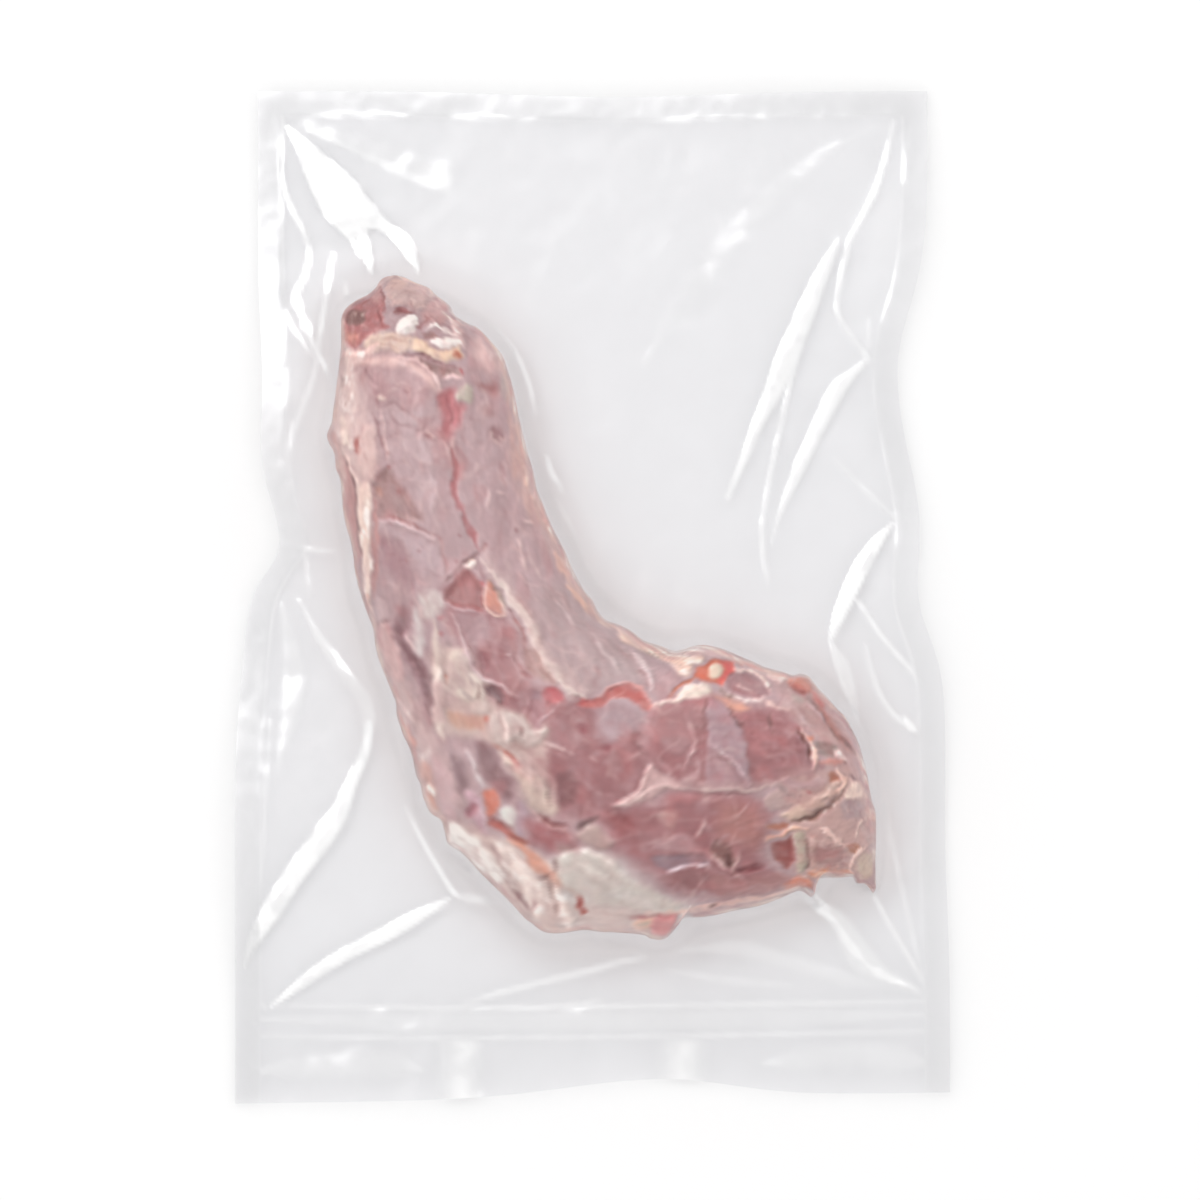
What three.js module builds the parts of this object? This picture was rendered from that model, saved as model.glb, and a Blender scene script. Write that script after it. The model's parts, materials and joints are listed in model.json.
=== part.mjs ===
// A clear vacuum bag sealed flat round one bent piece of neck meat, lying on its back.
// Millimetres, +Z up. +X runs across the bag and +Y towards its factory-sealed end.
// The origin is under the middle of the bag, on the surface that the pack rests on.
import * as THREE from "three";

// ---- Driving dimensions ----

const BAG_WIDTH = 250; // across the open end, which is the wider one
const BAG_LENGTH = 354; // from the factory seal's edge to the lower corner of the open end
const TOP_HALF_WIDTH = 117; // the factory end is drawn in by the shrinking film
const END_SKEW = 4; // how much shorter the right-hand side is cut than the left
const WIDENS_FROM = 0.35; // share of the length at which the bag begins to widen
const FULL_WIDTH_FROM = 0.7; // and at which it has its full width
const SEAL_THICKNESS = 1.2; // both films welded together, with their curl
const RIM_HEIGHT = 5; // of the flat film's middle above the table, held up by the meat
const RIM_WAVE = 1.3; // how far the flat film rises and dips along its edges
const CORNER_DROOP = 1.6; // how far the corners hang below the rest of the rim
const FILM_CLEARANCE = 0.6; // film over meat, with the juice between them
const SUCTION_LENGTH = 7; // how far from the meat the film has come down to about a third
const UNDERSIDE_REACH = 24; // meat thicker than this is pressed flat on the table
const MEAT_FULLNESS = 0.78; // power of the cross-section's sine: 1 is an ellipse, less is boxier

// Where a stretched fold draws an edge of the bag inwards:
// place along that edge, depth, and how far the waist spreads to either side.
const LEFT_PULLS = [
  { at: 18, depth: 9, before: 9, after: 15 },
  { at: 74, depth: 1.6, before: 14, after: 20 },
];
const RIGHT_PULLS = [
  { at: 78, depth: 10.4, before: 31, after: 22 },
  { at: -3, depth: 6, before: 13, after: 16 },
  { at: -78, depth: 1.8, before: 30, after: 30 },
];
const TOP_PULLS = [{ at: 8, depth: 2.1, before: 35, after: 35 }];
const BOTTOM_PULLS = [{ at: 24, depth: 6.3, before: 33, after: 24 }];

// The neck as it lies: for each cross-section, where its left and right sides are,
// looking down from the skull end, and how thick the meat is there.
const NECK_SECTIONS = [
  { left: [-75.5, 106], right: [-57.5, 106], thick: 15 },
  { left: [-86, 96], right: [-45, 96], thick: 35 },
  { left: [-88.5, 78.5], right: [-29, 80], thick: 42 },
  { left: [-89, 44], right: [-20, 42], thick: 46 },
  { left: [-83, 5.5], right: [-5, 7.5], thick: 48 },
  { left: [-69, -38], right: [18, -15.5], thick: 53 },
  { left: [-59.5, -67], right: [27, -17.5], thick: 56 },
  { left: [-45, -93], right: [37.5, -18], thick: 58 },
  { left: [-21.5, -114.5], right: [51.5, -20.5], thick: 58 },
  { left: [26, -115.5], right: [74.5, -29], thick: 56 },
  { left: [77, -101.5], right: [93, -58.5], thick: 43 },
  { left: [95, -101], right: [98.5, -81], thick: 24 },
];

// The stretched folds of the film: a ridge from one point to another.
const FOLDS = [
  { from: [-107, 163], to: [-68, 116], height: 3.2 },
  { from: [-104, 165], to: [-47, 146], height: 2.2 },
  { from: [-108, 150], to: [-96, 88], height: 2.4 },
  { from: [102, 163], to: [62, 20], height: 3.6 },
  { from: [84, 124], to: [48, 30], height: 3 },
  { from: [91, 87], to: [64, 45], height: 2.6 },
  { from: [98, 26], to: [78, -14], height: 3 },
  { from: [-108, -2], to: [-80, -52], height: 3 },
  { from: [-80, -55], to: [-121, -138], height: 3.4 },
  { from: [-114, -143], to: [-50, -106], height: 3.2 },
  { from: [108, -141], to: [74, -104], height: 2.8 },
];
const FOLD_HALF_WIDTH = 10;

const COLUMNS = 44; // of the upper film's mesh, across the bag
const ROWS = 62; // and along it; the underside has half as many of each
const RELAX_SWEEPS = 400; // enough for the film to settle
const NECK_STEPS = 64; // along the neck's surface
const NECK_SIDES = 18; // across it

// ---- The bag's outline ----

const smooth = THREE.MathUtils.smoothstep;
const lerp = THREE.MathUtils.lerp;

// How far an edge is drawn in at a place along it.
function drawnIn(pulls, place) {
  let inwards = 0;
  for (const pull of pulls) {
    const away = place - pull.at;
    const spread = away < 0 ? pull.before : pull.after;
    inwards += pull.depth * Math.exp(-0.5 * (away / spread) ** 2);
  }
  return inwards;
}

// A point of the flat bag: across runs from 0 at the left edge to 1, along from 0 at the top end to 1.
function bagPoint(across, along) {
  const y = lerp(BAG_LENGTH / 2, -BAG_LENGTH / 2, along);
  const widened = smooth(along, WIDENS_FROM, FULL_WIDTH_FROM);
  const half = lerp(TOP_HALF_WIDTH, BAG_WIDTH / 2, widened);
  const left = -half + drawnIn(LEFT_PULLS, y);
  const right = half - drawnIn(RIGHT_PULLS, y);
  const x = lerp(left, right, across);
  const top = BAG_LENGTH / 2 - drawnIn(TOP_PULLS, x) * ramp(across);
  const bottom = -BAG_LENGTH / 2 + END_SKEW * across + drawnIn(BOTTOM_PULLS, x) * ramp(across);
  return new THREE.Vector2(x, lerp(top, bottom, along));
}

// 0 at both ends and 1 between them, so that the corners stay where they are.
function ramp(share) {
  return smooth(share, 0, 0.1) * smooth(1 - share, 0, 0.1);
}

// ---- The neck inside it ----

// One number of the sections, as a smooth curve along the neck.
function sectionCurve(read) {
  const points = NECK_SECTIONS.map((section) => {
    const [x, y] = read(section);
    return new THREE.Vector3(x, y, section.thick);
  });
  return new THREE.CatmullRomCurve3(points, false, "centripetal");
}

// The upper surface of the meat, as a mesh that rays can be cast on.
function neckSurface() {
  const leftSide = sectionCurve((section) => section.left);
  const rightSide = sectionCurve((section) => section.right);
  const surface = new THREE.PlaneGeometry(1, 1, NECK_SIDES, NECK_STEPS);
  const places = surface.getAttribute("position");
  for (let step = 0; step <= NECK_STEPS; step++) {
    const left = leftSide.getPoint(step / NECK_STEPS);
    const right = rightSide.getPoint(step / NECK_STEPS);
    for (let side = 0; side <= NECK_SIDES; side++) {
      const turn = (Math.PI * side) / NECK_SIDES;
      const spot = left.clone().lerp(right, (1 - Math.cos(turn)) / 2);
      const height = left.z * Math.max(Math.sin(turn), 0) ** MEAT_FULLNESS;
      places.setXYZ(step * (NECK_SIDES + 1) + side, spot.x, spot.y, height);
    }
  }
  return new THREE.Mesh(surface, new THREE.MeshBasicMaterial({ side: THREE.DoubleSide }));
}

// How high the meat reaches above a point of the table, or 0 beside it.
function meatHeight(neck, point) {
  const above = new THREE.Vector3(point.x, point.y, 1000);
  const ray = new THREE.Raycaster(above, new THREE.Vector3(0, 0, -1));
  const hits = ray.intersectObject(neck);
  return hits.length ? hits[0].point.z : 0;
}

// ---- The film over and under it ----

// How high the flat, empty film hovers above the table.
function rimHeight(point) {
  const across = point.x / (BAG_WIDTH / 2);
  const along = point.y / (BAG_LENGTH / 2);
  const wave = Math.cos(2.5 * Math.PI * along + 0.6) * across + 0.6 * Math.sin(3 * across) * along;
  const droop = CORNER_DROOP * across ** 2 * along ** 2;
  return RIM_HEIGHT + RIM_WAVE * wave - droop;
}

// How much the folds lift the film at a point.
function foldLift(point) {
  let lift = 0;
  for (const fold of FOLDS) {
    const from = new THREE.Vector3(...fold.from, 0);
    const to = new THREE.Vector3(...fold.to, 0);
    const here = new THREE.Vector3(point.x, point.y, 0);
    const line = new THREE.Line3(from, to);
    const share = line.closestPointToPointParameter(here, true);
    const away = line.at(share, new THREE.Vector3()).distanceTo(here);
    const along = smooth(share, 0, 0.3) * smooth(1 - share, 0, 0.15);
    lift = Math.max(lift, fold.height * along * smooth(FOLD_HALF_WIDTH - away, 0, FOLD_HALF_WIDTH));
  }
  return lift;
}

// The film is stretched, so each of its points settles at the mean of its neighbours, pulled down
// towards the flat film by the vacuum, and never sinks into the meat.
function drapeFilm(points, meat, flat) {
  const heights = points.map((_, i) => Math.max(flat[i], meat[i]));
  const across = COLUMNS + 1;
  const cell = BAG_WIDTH / COLUMNS;
  const pull = (cell / SUCTION_LENGTH) ** 2 / 4;
  for (let sweep = 0; sweep < RELAX_SWEEPS; sweep++) {
    for (let row = 1; row < ROWS; row++) {
      for (let column = 1; column < COLUMNS; column++) {
        const i = row * across + column;
        const mean = (heights[i - 1] + heights[i + 1] + heights[i - across] + heights[i + across]) / 4;
        const settled = (mean + pull * flat[i]) / (1 + pull);
        heights[i] = Math.max(settled, meat[i] + FILM_CLEARANCE, flat[i]);
      }
    }
  }
  return heights;
}

// ---- The solid ----

// A closed shell from the upper film's grid and the coarser grid of the underside.
function packGeometry() {
  const neck = neckSurface();
  const points = [];
  for (let row = 0; row <= ROWS; row++) {
    for (let column = 0; column <= COLUMNS; column++) {
      points.push(bagPoint(column / COLUMNS, row / ROWS));
    }
  }
  const meat = points.map((point) => meatHeight(neck, point));
  const flat = points.map((point) => rimHeight(point) + SEAL_THICKNESS / 2);
  const film = drapeFilm(points, meat, flat);

  const positions = [];
  points.forEach((point, i) => {
    const onMeat = smooth(meat[i], 0, UNDERSIDE_REACH);
    positions.push(point.x, point.y, film[i] + foldLift(point) * (1 - onMeat));
  });
  const underside = points.length;
  const topIndex = (column, row) => row * (COLUMNS + 1) + column;
  for (let row = 0; row <= ROWS; row += 2) {
    for (let column = 0; column <= COLUMNS; column += 2) {
      const i = topIndex(column, row);
      const free = 1 - smooth(meat[i], 0, UNDERSIDE_REACH);
      positions.push(points[i].x, points[i].y, (flat[i] - SEAL_THICKNESS) * free);
    }
  }
  const lowIndex = (column, row) => underside + (row / 2) * (COLUMNS / 2 + 1) + column / 2;

  const faces = [];
  for (let row = 0; row < ROWS; row++) {
    for (let column = 0; column < COLUMNS; column++) {
      const [a, b] = [topIndex(column, row), topIndex(column + 1, row)];
      const [c, d] = [topIndex(column, row + 1), topIndex(column + 1, row + 1)];
      faces.push(a, c, d, a, d, b);
    }
  }
  for (let row = 0; row < ROWS; row += 2) {
    for (let column = 0; column < COLUMNS; column += 2) {
      const [a, b] = [lowIndex(column, row), lowIndex(column + 2, row)];
      const [c, d] = [lowIndex(column, row + 2), lowIndex(column + 2, row + 2)];
      faces.push(a, d, c, a, b, d);
    }
  }
  for (const [before, middle, after] of rimSteps()) {
    const [t0, t1, t2] = [before, middle, after].map(([column, row]) => topIndex(column, row));
    const [b0, b2] = [before, after].map(([column, row]) => lowIndex(column, row));
    faces.push(b0, b2, t1, b0, t1, t0, b2, t2, t1);
  }
  const geometry = new THREE.BufferGeometry();
  geometry.setAttribute("position", new THREE.Float32BufferAttribute(positions, 3));
  geometry.setIndex(faces);
  geometry.computeVertexNormals();
  return geometry;
}

// The grid's edge, counter-clockwise from above, two cells at a time.
function rimSteps() {
  const edge = [];
  for (let row = 0; row < ROWS; row++) edge.push([0, row]);
  for (let column = 0; column < COLUMNS; column++) edge.push([column, ROWS]);
  for (let row = ROWS; row > 0; row--) edge.push([COLUMNS, row]);
  for (let column = COLUMNS; column > 0; column--) edge.push([column, 0]);
  const steps = [];
  for (let i = 0; i < edge.length; i += 2) {
    steps.push([edge[i], edge[i + 1], edge[(i + 2) % edge.length]]);
  }
  return steps;
}

const clearFilmOverMeat = new THREE.MeshStandardMaterial({
  color: 0xd8b4b2,
  roughness: 0.22,
  metalness: 0,
});

const sealedPack = new THREE.Mesh(packGeometry(), clearFilmOverMeat);
sealedPack.name = "sealed_pack";

const pack = new THREE.Group();
pack.add(sealedPack);

export default pack;
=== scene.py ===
# %% [markdown]
# # A vacuum pack of mutton neck
# A clear bag is sealed flat round one bent piece of raw neck. The film clings to the meat like a wet
# skin, and runs out to a flat, wavy rim. The lesson makes the neck first, then drapes the film over it,
# because on the real pack too it is the meat that gives the film its form.

# %% The frame
import json
import math

import bmesh
import bpy
import numpy as np
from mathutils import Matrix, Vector
from mathutils.bvhtree import BVHTree

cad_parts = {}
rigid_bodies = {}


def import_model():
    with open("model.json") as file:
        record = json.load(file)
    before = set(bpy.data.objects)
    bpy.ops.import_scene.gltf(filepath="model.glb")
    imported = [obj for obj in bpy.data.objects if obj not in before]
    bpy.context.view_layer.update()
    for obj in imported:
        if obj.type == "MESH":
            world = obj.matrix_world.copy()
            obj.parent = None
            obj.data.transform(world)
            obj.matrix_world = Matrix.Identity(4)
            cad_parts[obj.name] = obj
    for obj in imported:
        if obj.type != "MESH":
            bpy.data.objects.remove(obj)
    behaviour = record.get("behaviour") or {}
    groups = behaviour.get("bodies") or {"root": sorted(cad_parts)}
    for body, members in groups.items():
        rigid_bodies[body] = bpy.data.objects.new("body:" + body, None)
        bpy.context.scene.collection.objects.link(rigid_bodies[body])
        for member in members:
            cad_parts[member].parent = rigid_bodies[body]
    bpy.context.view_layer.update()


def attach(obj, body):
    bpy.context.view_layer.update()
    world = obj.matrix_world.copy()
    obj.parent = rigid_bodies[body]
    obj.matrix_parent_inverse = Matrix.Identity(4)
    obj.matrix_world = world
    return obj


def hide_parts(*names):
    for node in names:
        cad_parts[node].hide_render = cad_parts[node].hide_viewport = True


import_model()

MM = 0.001

# %% [markdown]
# ## Curves through points
# Meat has no straight lines. Every outline below is a handful of points in millimetres, looked at from
# above, and a Catmull-Rom curve is drawn through them: it passes each point and bends softly between.

# %% Curves through points
def curve(points, closed=False, steps=5):
    """A smooth line through the points, with a few steps between each pair."""
    p = np.array(points, float)
    if closed:
        p = np.vstack([p[-1], p, p[0], p[1]])
    else:
        p = np.vstack([2 * p[0] - p[1], p, 2 * p[-1] - p[-2]])
    t = np.linspace(0, 1, steps, endpoint=False)[:, None]
    line = []
    for a, b, c, d in zip(p[:-3], p[1:-2], p[2:-1], p[3:]):
        line.append(0.5 * (2 * b + (c - a) * t + (2 * a - 5 * b + 4 * c - d) * t**2
                           + (3 * b - a - 3 * c + d) * t**3))
    line = np.vstack(line)
    return line if closed else np.vstack([line, p[-2]])


def ease(value, low=0.0, high=1.0):
    """0 below low, 1 above high, and a smooth S between."""
    t = np.clip((value - low) / (high - low), 0, 1)
    return t * t * (3 - 2 * t)


def lengths(line):
    """How far along the line each of its points is."""
    return np.concatenate([[0], np.cumsum(np.linalg.norm(np.diff(line, axis=0), axis=1))])


print("helpers ready: curve, ease, lengths")

# %% [markdown]
# ## Soft noise
# Nothing on a carcass repeats. This noise is a table of random numbers, read with smooth steps between
# its entries; the seed keeps it the same every time.

# %% Soft noise
def noise(x, y, size, seed):
    """Smooth random values from -1 to 1, that change over about size millimetres."""
    table = np.random.default_rng(seed).uniform(-1, 1, (128, 128))
    u, v = x / size + 1000.5, y / size + 1000.5
    i, j = np.floor(u).astype(int), np.floor(v).astype(int)
    fu, fv = ease(u - i), ease(v - j)
    a, b = table[i % 128, j % 128], table[(i + 1) % 128, j % 128]
    c, d = table[i % 128, (j + 1) % 128], table[(i + 1) % 128, (j + 1) % 128]
    return (a * (1 - fu) + b * fu) * (1 - fv) + (c * (1 - fu) + d * fu) * fv


print("noise at the middle", round(float(noise(np.zeros(1), np.zeros(1), 5, 1)[0]), 3))

# %% [markdown]
# ## The neck's two sides
# Seen from above the neck lies like a boot: a straight shaft down the left, and a foot turned to the
# right. Its outline is split at the two tips into a left and a right side. Cross-sections join the two.

# %% The neck's two sides
LEFT_SIDE = curve([
    (-69, 112.7), (-72.5, 112), (-74.5, 110.5), (-76, 108), (-79, 105.5), (-82, 104), (-86, 101),
    (-87.7, 97), (-87.8, 88), (-88.7, 79), (-90.5, 65), (-91, 61), (-92.5, 57), (-92, 54), (-90, 50),
    (-89.5, 45), (-88, 41), (-87.5, 36), (-87, 30), (-86, 25), (-84.5, 20), (-83.5, 15), (-83, 10),
    (-82, 5), (-80.5, 0), (-79.5, -3), (-78, -7), (-76.5, -11), (-75.5, -18), (-74, -23), (-72, -28),
    (-70, -33), (-68.5, -37), (-68.3, -41), (-67, -45), (-66, -48), (-64.5, -51), (-63, -55), (-62.3, -58),
    (-61.5, -62), (-60, -65), (-59.5, -68), (-58.5, -71), (-56.5, -75), (-53, -77.5), (-52, -80),
    (-51, -84), (-50, -86), (-45, -89.5), (-39.5, -95.5), (-34, -101), (-30, -105), (-27, -108),
    (-24, -111.5), (-21, -113.7), (-17, -116.5), (-12, -117), (-8, -116.5), (-3, -115.8), (3, -116.5),
    (10, -116.8), (18, -117.6), (20, -118.8), (25, -119), (29, -115), (30, -112.5), (33, -111.5),
    (36, -111.5), (42, -110.8), (50, -109), (58, -107.5), (65, -105), (72, -102.3), (76.3, -104.5),
    (77, -102), (77.5, -98.5), (80, -97.8), (86, -97.8), (90.5, -97.5), (92, -99.7), (95, -100),
    (97, -102), (98, -103.3), (99, -102)])
RIGHT_SIDE = curve([
    (-69, 112.7), (-65.5, 111.8), (-62.5, 110.3), (-57.5, 108.3), (-54.7, 105.7), (-50, 102), (-47.8, 98.3),
    (-43, 95.3), (-40, 94), (-35.5, 89.5), (-31.5, 84.5), (-30, 80.5), (-28.5, 76), (-27, 70), (-26.3, 66),
    (-25, 60), (-23.8, 55), (-22.5, 50), (-20.7, 44), (-19.5, 38), (-17.5, 33), (-15.5, 28), (-13, 22.5),
    (-10, 17), (-7.5, 11), (-5, 6), (-2.5, 2), (0, -1), (2, -5), (5, -8), (10, -9.8), (14, -12), (18, -15),
    (24, -17), (28, -18.5), (31, -18.3), (35, -17), (39, -16.5), (44, -17.5), (48, -19), (52, -20.7),
    (56, -22.4), (60, -24.2), (66, -25.8), (70, -27), (72, -26.5), (75, -27.3), (77, -29.5), (79, -32),
    (82, -35), (85, -38.5), (88, -41.5), (90, -45), (92, -49), (93.5, -53), (94.5, -57), (95.7, -61),
    (96.5, -66), (97.5, -71), (98.7, -74.5), (99, -80), (99, -85), (98.7, -90), (98.5, -95), (99, -102)])
print("sides", round(lengths(LEFT_SIDE)[-1]), "mm and", round(lengths(RIGHT_SIDE)[-1]), "mm long")

# %% [markdown]
# ## Cross-sections
# A cross-section joins a place on the left side to one on the right, and says how thick the meat is
# there. Between the few given ones the computer slides evenly along both sides.

# %% Cross-sections
SECTIONS = (                      # left end, right end, thickness
    ((-75.5, 106), (-57.5, 106), 15), ((-86, 96), (-45, 96), 35), ((-88.5, 78.5), (-29, 80), 42),
    ((-89, 44), (-20, 42), 46), ((-83, 5.5), (-5, 7.5), 48), ((-69, -38), (18, -15.5), 53),
    ((-59.5, -67), (27, -17.5), 56), ((-45, -93), (37.5, -18), 58), ((-21.5, -114.5), (51.5, -20.5), 58),
    ((26, -115.5), (74.5, -29), 56), ((77, -101.5), (93, -58.5), 43), ((95, -101), (98.5, -81), 24))
STATIONS = 540


def nearest_length(line, point):
    return lengths(line)[np.argmin(np.linalg.norm(line - np.array(point), axis=1))]


left_ends = [0.0] + [nearest_length(LEFT_SIDE, s[0]) for s in SECTIONS] + [lengths(LEFT_SIDE)[-1]]
right_ends = [0.0] + [nearest_length(RIGHT_SIDE, s[1]) for s in SECTIONS] + [lengths(RIGHT_SIDE)[-1]]
thicks = [6.0] + [s[2] for s in SECTIONS] + [9.0]
guide = curve(np.column_stack([left_ends, right_ends, thicks]), steps=20)
order = np.maximum.accumulate(guide[:, 0] + guide[:, 1])
order = (order - order[0]) / (order[-1] - order[0])
station = np.linspace(0.0035, 0.9965, STATIONS)
left_at, right_at, thick_at = (np.interp(station, order, guide[:, k]) for k in range(3))


def along(line, distance):
    return np.column_stack([np.interp(distance, lengths(line), line[:, k]) for k in range(2)])


left_points, right_points = along(LEFT_SIDE, left_at), along(RIGHT_SIDE, right_at)
print(STATIONS, "sections, thickest", round(thick_at.max(), 1), "mm")

# %% [markdown]
# ## The neck as a rolled grid
# The neck starts as a flat grid primitive. Each row of the grid is rolled into one cross-section: over
# the domed top from left to right, then back underneath, where the meat has settled flat. The small steps
# and tags of the outline count only near the edge, so that they don't run across the whole top. The
# places across the top are found by walking along one dome, so that the steep sides get faces of their
# own.

# %% The neck as a rolled grid
TOP_STEPS = 156                   # faces over the top of a cross-section
UNDER_STEPS = 20                  # faces underneath, where little is seen
EDGE_HEIGHT = 0.2                 # how high the widest line is, as a share of the thickness
FULLNESS = 0.78                   # below 1 a fuller dome than a half ellipse
UNDER_GAP = 0.5                   # the lower film is below the meat, mm
SIDE_SHARE = 0.2                  # how much of the faces the steep sides get

fine_spots = (1 - np.cos(np.linspace(0, math.pi, 4001))) / 2
fine_rise = SIDE_SHARE * (4 * fine_spots * (1 - fine_spots))**(FULLNESS / 2)
walk = lengths(np.column_stack([fine_spots, fine_rise]))
top_spots = np.interp(np.linspace(0, walk[-1], TOP_STEPS + 1), walk, fine_spots)
under_spots = (1 + np.cos(np.linspace(0, math.pi, UNDER_STEPS + 1))) / 2
spots = np.concatenate([top_spots, under_spots[1:]])
is_top = np.concatenate([np.ones(TOP_STEPS + 1), np.zeros(UNDER_STEPS)])

bulge = 2 * np.sqrt(np.clip(spots * (1 - spots), 0, None))
thick_here = thick_at[:, None]
edge_here = EDGE_HEIGHT * thick_here
over = edge_here + (thick_here - edge_here) * bulge**FULLNESS
under = UNDER_GAP + (edge_here - UNDER_GAP) * (1 - bulge**0.35)
neck_z = np.where(is_top > 0, over, under)


def smoothed(line, reach=34):
    """The line without its small steps."""
    weights = np.hanning(2 * reach + 1)
    padded = np.pad(line, ((reach, reach), (0, 0)), mode="reflect", reflect_type="odd")
    weights /= weights.sum()
    return np.column_stack([np.convolve(column, weights, mode="valid") for column in padded.T])


left_soft, right_soft = smoothed(left_points), smoothed(right_points)
near_left, near_right = 1 - ease(spots, 0, 0.15), 1 - ease(1 - spots, 0, 0.15)
neck_x, neck_y = (
    left_soft[:, k:k + 1] * (1 - spots) + right_soft[:, k:k + 1] * spots
    + (left_points - left_soft)[:, k:k + 1] * near_left + (right_points - right_soft)[:, k:k + 1] * near_right
    for k in range(2))
print("neck grid", neck_x.shape)

# %% [markdown]
# ## Painting and modelling in one go
# On real meat a dark line is nearly always also a groove, and a white lump stands up. So one call both
# colours a place and lifts it. A patch is a closed outline, a stroke a line with a width.

# %% Painting and modelling in one go
def rgb(r, g, b):
    return np.array([r, g, b], float) / 255


RELIEF = 0.65                     # the film presses every ridge and groove a little flatter


class Canvas:
    """Places seen from above, with a colour and a lift for each."""

    def __init__(self, x, y, colour, u, v):
        self.u, self.v = u, v     # where on the unrolled skin each place is, for the noise
        wander = [noise(u, v, 4.5, s) * 0.6 + noise(u, v, 1.9, s + 1) * 0.42 + noise(u, v, 0.9, s + 2) * 0.2
                  for s in (11, 21)]
        self.x, self.y = x + wander[0], y + wander[1]
        self.colour = np.tile(colour, (len(x), 1))
        self.ink = 0.85           # how strongly strokes colour and lift
        self.rough = 0.5          # how uneven strokes and edges are
        self.finest = 0.55        # the thinnest half width that the grid can show, mm
        self.lift = np.zeros(len(x))

    def near(self, line, margin):
        """The places close enough to a line to matter, and how far each is from it."""
        low, high = line.min(0) - margin, line.max(0) + margin
        pick = np.flatnonzero((self.x > low[0]) & (self.x < high[0]) & (self.y > low[1]) & (self.y < high[1]))
        place = np.column_stack([self.x[pick], self.y[pick]])
        best, where = np.full(len(pick), 1e9), np.zeros(len(pick))
        for k in range(len(line) - 1):
            a, d = line[k], line[k + 1] - line[k]
            t = np.clip(((place - a) @ d) / max(d @ d, 1e-9), 0, 1)
            gap = np.hypot(*(place - a - t[:, None] * d).T)
            nearer = gap < best
            best[nearer], where[nearer] = gap[nearer], (k + t[nearer]) / (len(line) - 1)
        return pick, place, best, where

    def tint(self, pick, amount, colour):
        self.colour[pick] += amount[:, None] * (colour - self.colour[pick])

    def patch(self, colour, soft, lift, *points, strength=1.0):
        """Fills a closed outline. soft is the width of its edge, lift how high it stands, in mm."""
        soft = soft if soft > 4 else 0.85 * soft
        line = curve(points, closed=True)
        line = np.vstack([line, line[0]])
        pick, place, gap, _ = self.near(line, soft + 1)
        inside = np.zeros(len(pick), bool)
        for a, b in zip(line[:-1], line[1:]):
            crosses = (a[1] > place[:, 1]) != (b[1] > place[:, 1])
            with np.errstate(divide="ignore", invalid="ignore"):
                at = a[0] + (place[:, 1] - a[1]) * (b[0] - a[0]) / (b[1] - a[1])
            inside ^= crosses & (place[:, 0] < at)
        depth = np.where(inside, gap, -gap)
        worn = 1 - 0.6 * self.rough * ease(noise(self.u[pick], self.v[pick], 2.9, 93), 0, 1)
        self.tint(pick, ease(depth, -0.6 * soft, 0.8 * soft) * worn * strength, colour)
        self.lift[pick] += RELIEF * lift * ease(depth, -soft / 2, max(soft, 2.2 * abs(lift)))

    def stroke(self, colour, width, lift, *points, strength=1.0):
        """Draws a line. width may be a pair, for a line that tapers."""
        line = curve(points)
        first, last = width if isinstance(width, tuple) else (width, width)
        pick, _, gap, where = self.near(line, max(first, last) * 1.6 + 1)
        taper = 0.2 + 0.8 * ease(where, 0, 0.25) * ease(1 - where, 0, 0.25)
        half = (first + (last - first) * where) / 2 * taper
        half *= 1 + self.rough * noise(self.u[pick], self.v[pick], 3.1, 91)
        thin = np.minimum(1, 0.3 + 0.7 * half / self.finest)
        fade = (1 - ease(gap / np.maximum(half, self.finest), 0.3, 1.5)) * thin
        worn = 1 - self.rough * ease(noise(self.u[pick], self.v[pick], 2.3, 92), 0, 1)
        self.tint(pick, fade * worn * strength * self.ink, colour)
        self.lift[pick] += RELIEF * lift * fade * self.ink


print("canvas ready")

# %% [markdown]
# ## The colours of the meat
# Seen through the film the flesh is greyer and more mauve than on a plate. A few named colours do for all
# of it. A place high on the meat is nearer to the camera, and is seen a little further out, so the canvas
# is told where each place is seen. It also gets the places on the unrolled skin, so that no noise smears
# down the sides.

# %% The colours of the meat
WHITE_FAT = rgb(248, 240, 236)
CREAM = rgb(241, 224, 213)
PEACH = rgb(232, 203, 190)
ORANGE = rgb(217, 152, 133)
TAN = rgb(206, 170, 158)
PALE_PINK = rgb(226, 201, 198)
PINK = rgb(212, 170, 168)
LILAC = rgb(206, 183, 187)
MEMBRANE = rgb(194, 167, 170)
GREY = rgb(184, 164, 164)
SILVER = rgb(222, 213, 210)
MAUVE = rgb(182, 147, 151)
MUSCLE = rgb(169, 118, 121)
DEEP = rgb(156, 107, 110)
RED = rgb(194, 118, 121)
BLOOD = rgb(150, 84, 84)
BROWN = rgb(124, 80, 78)
OLIVE = rgb(197, 186, 175)

CAMERA_HEIGHT, PICTURE_CENTRE = 3000, (2.6, -0.9)
TIP_BELOW = 46                    # where the neck is thinner than this, it slopes down to a tip, mm

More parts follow.
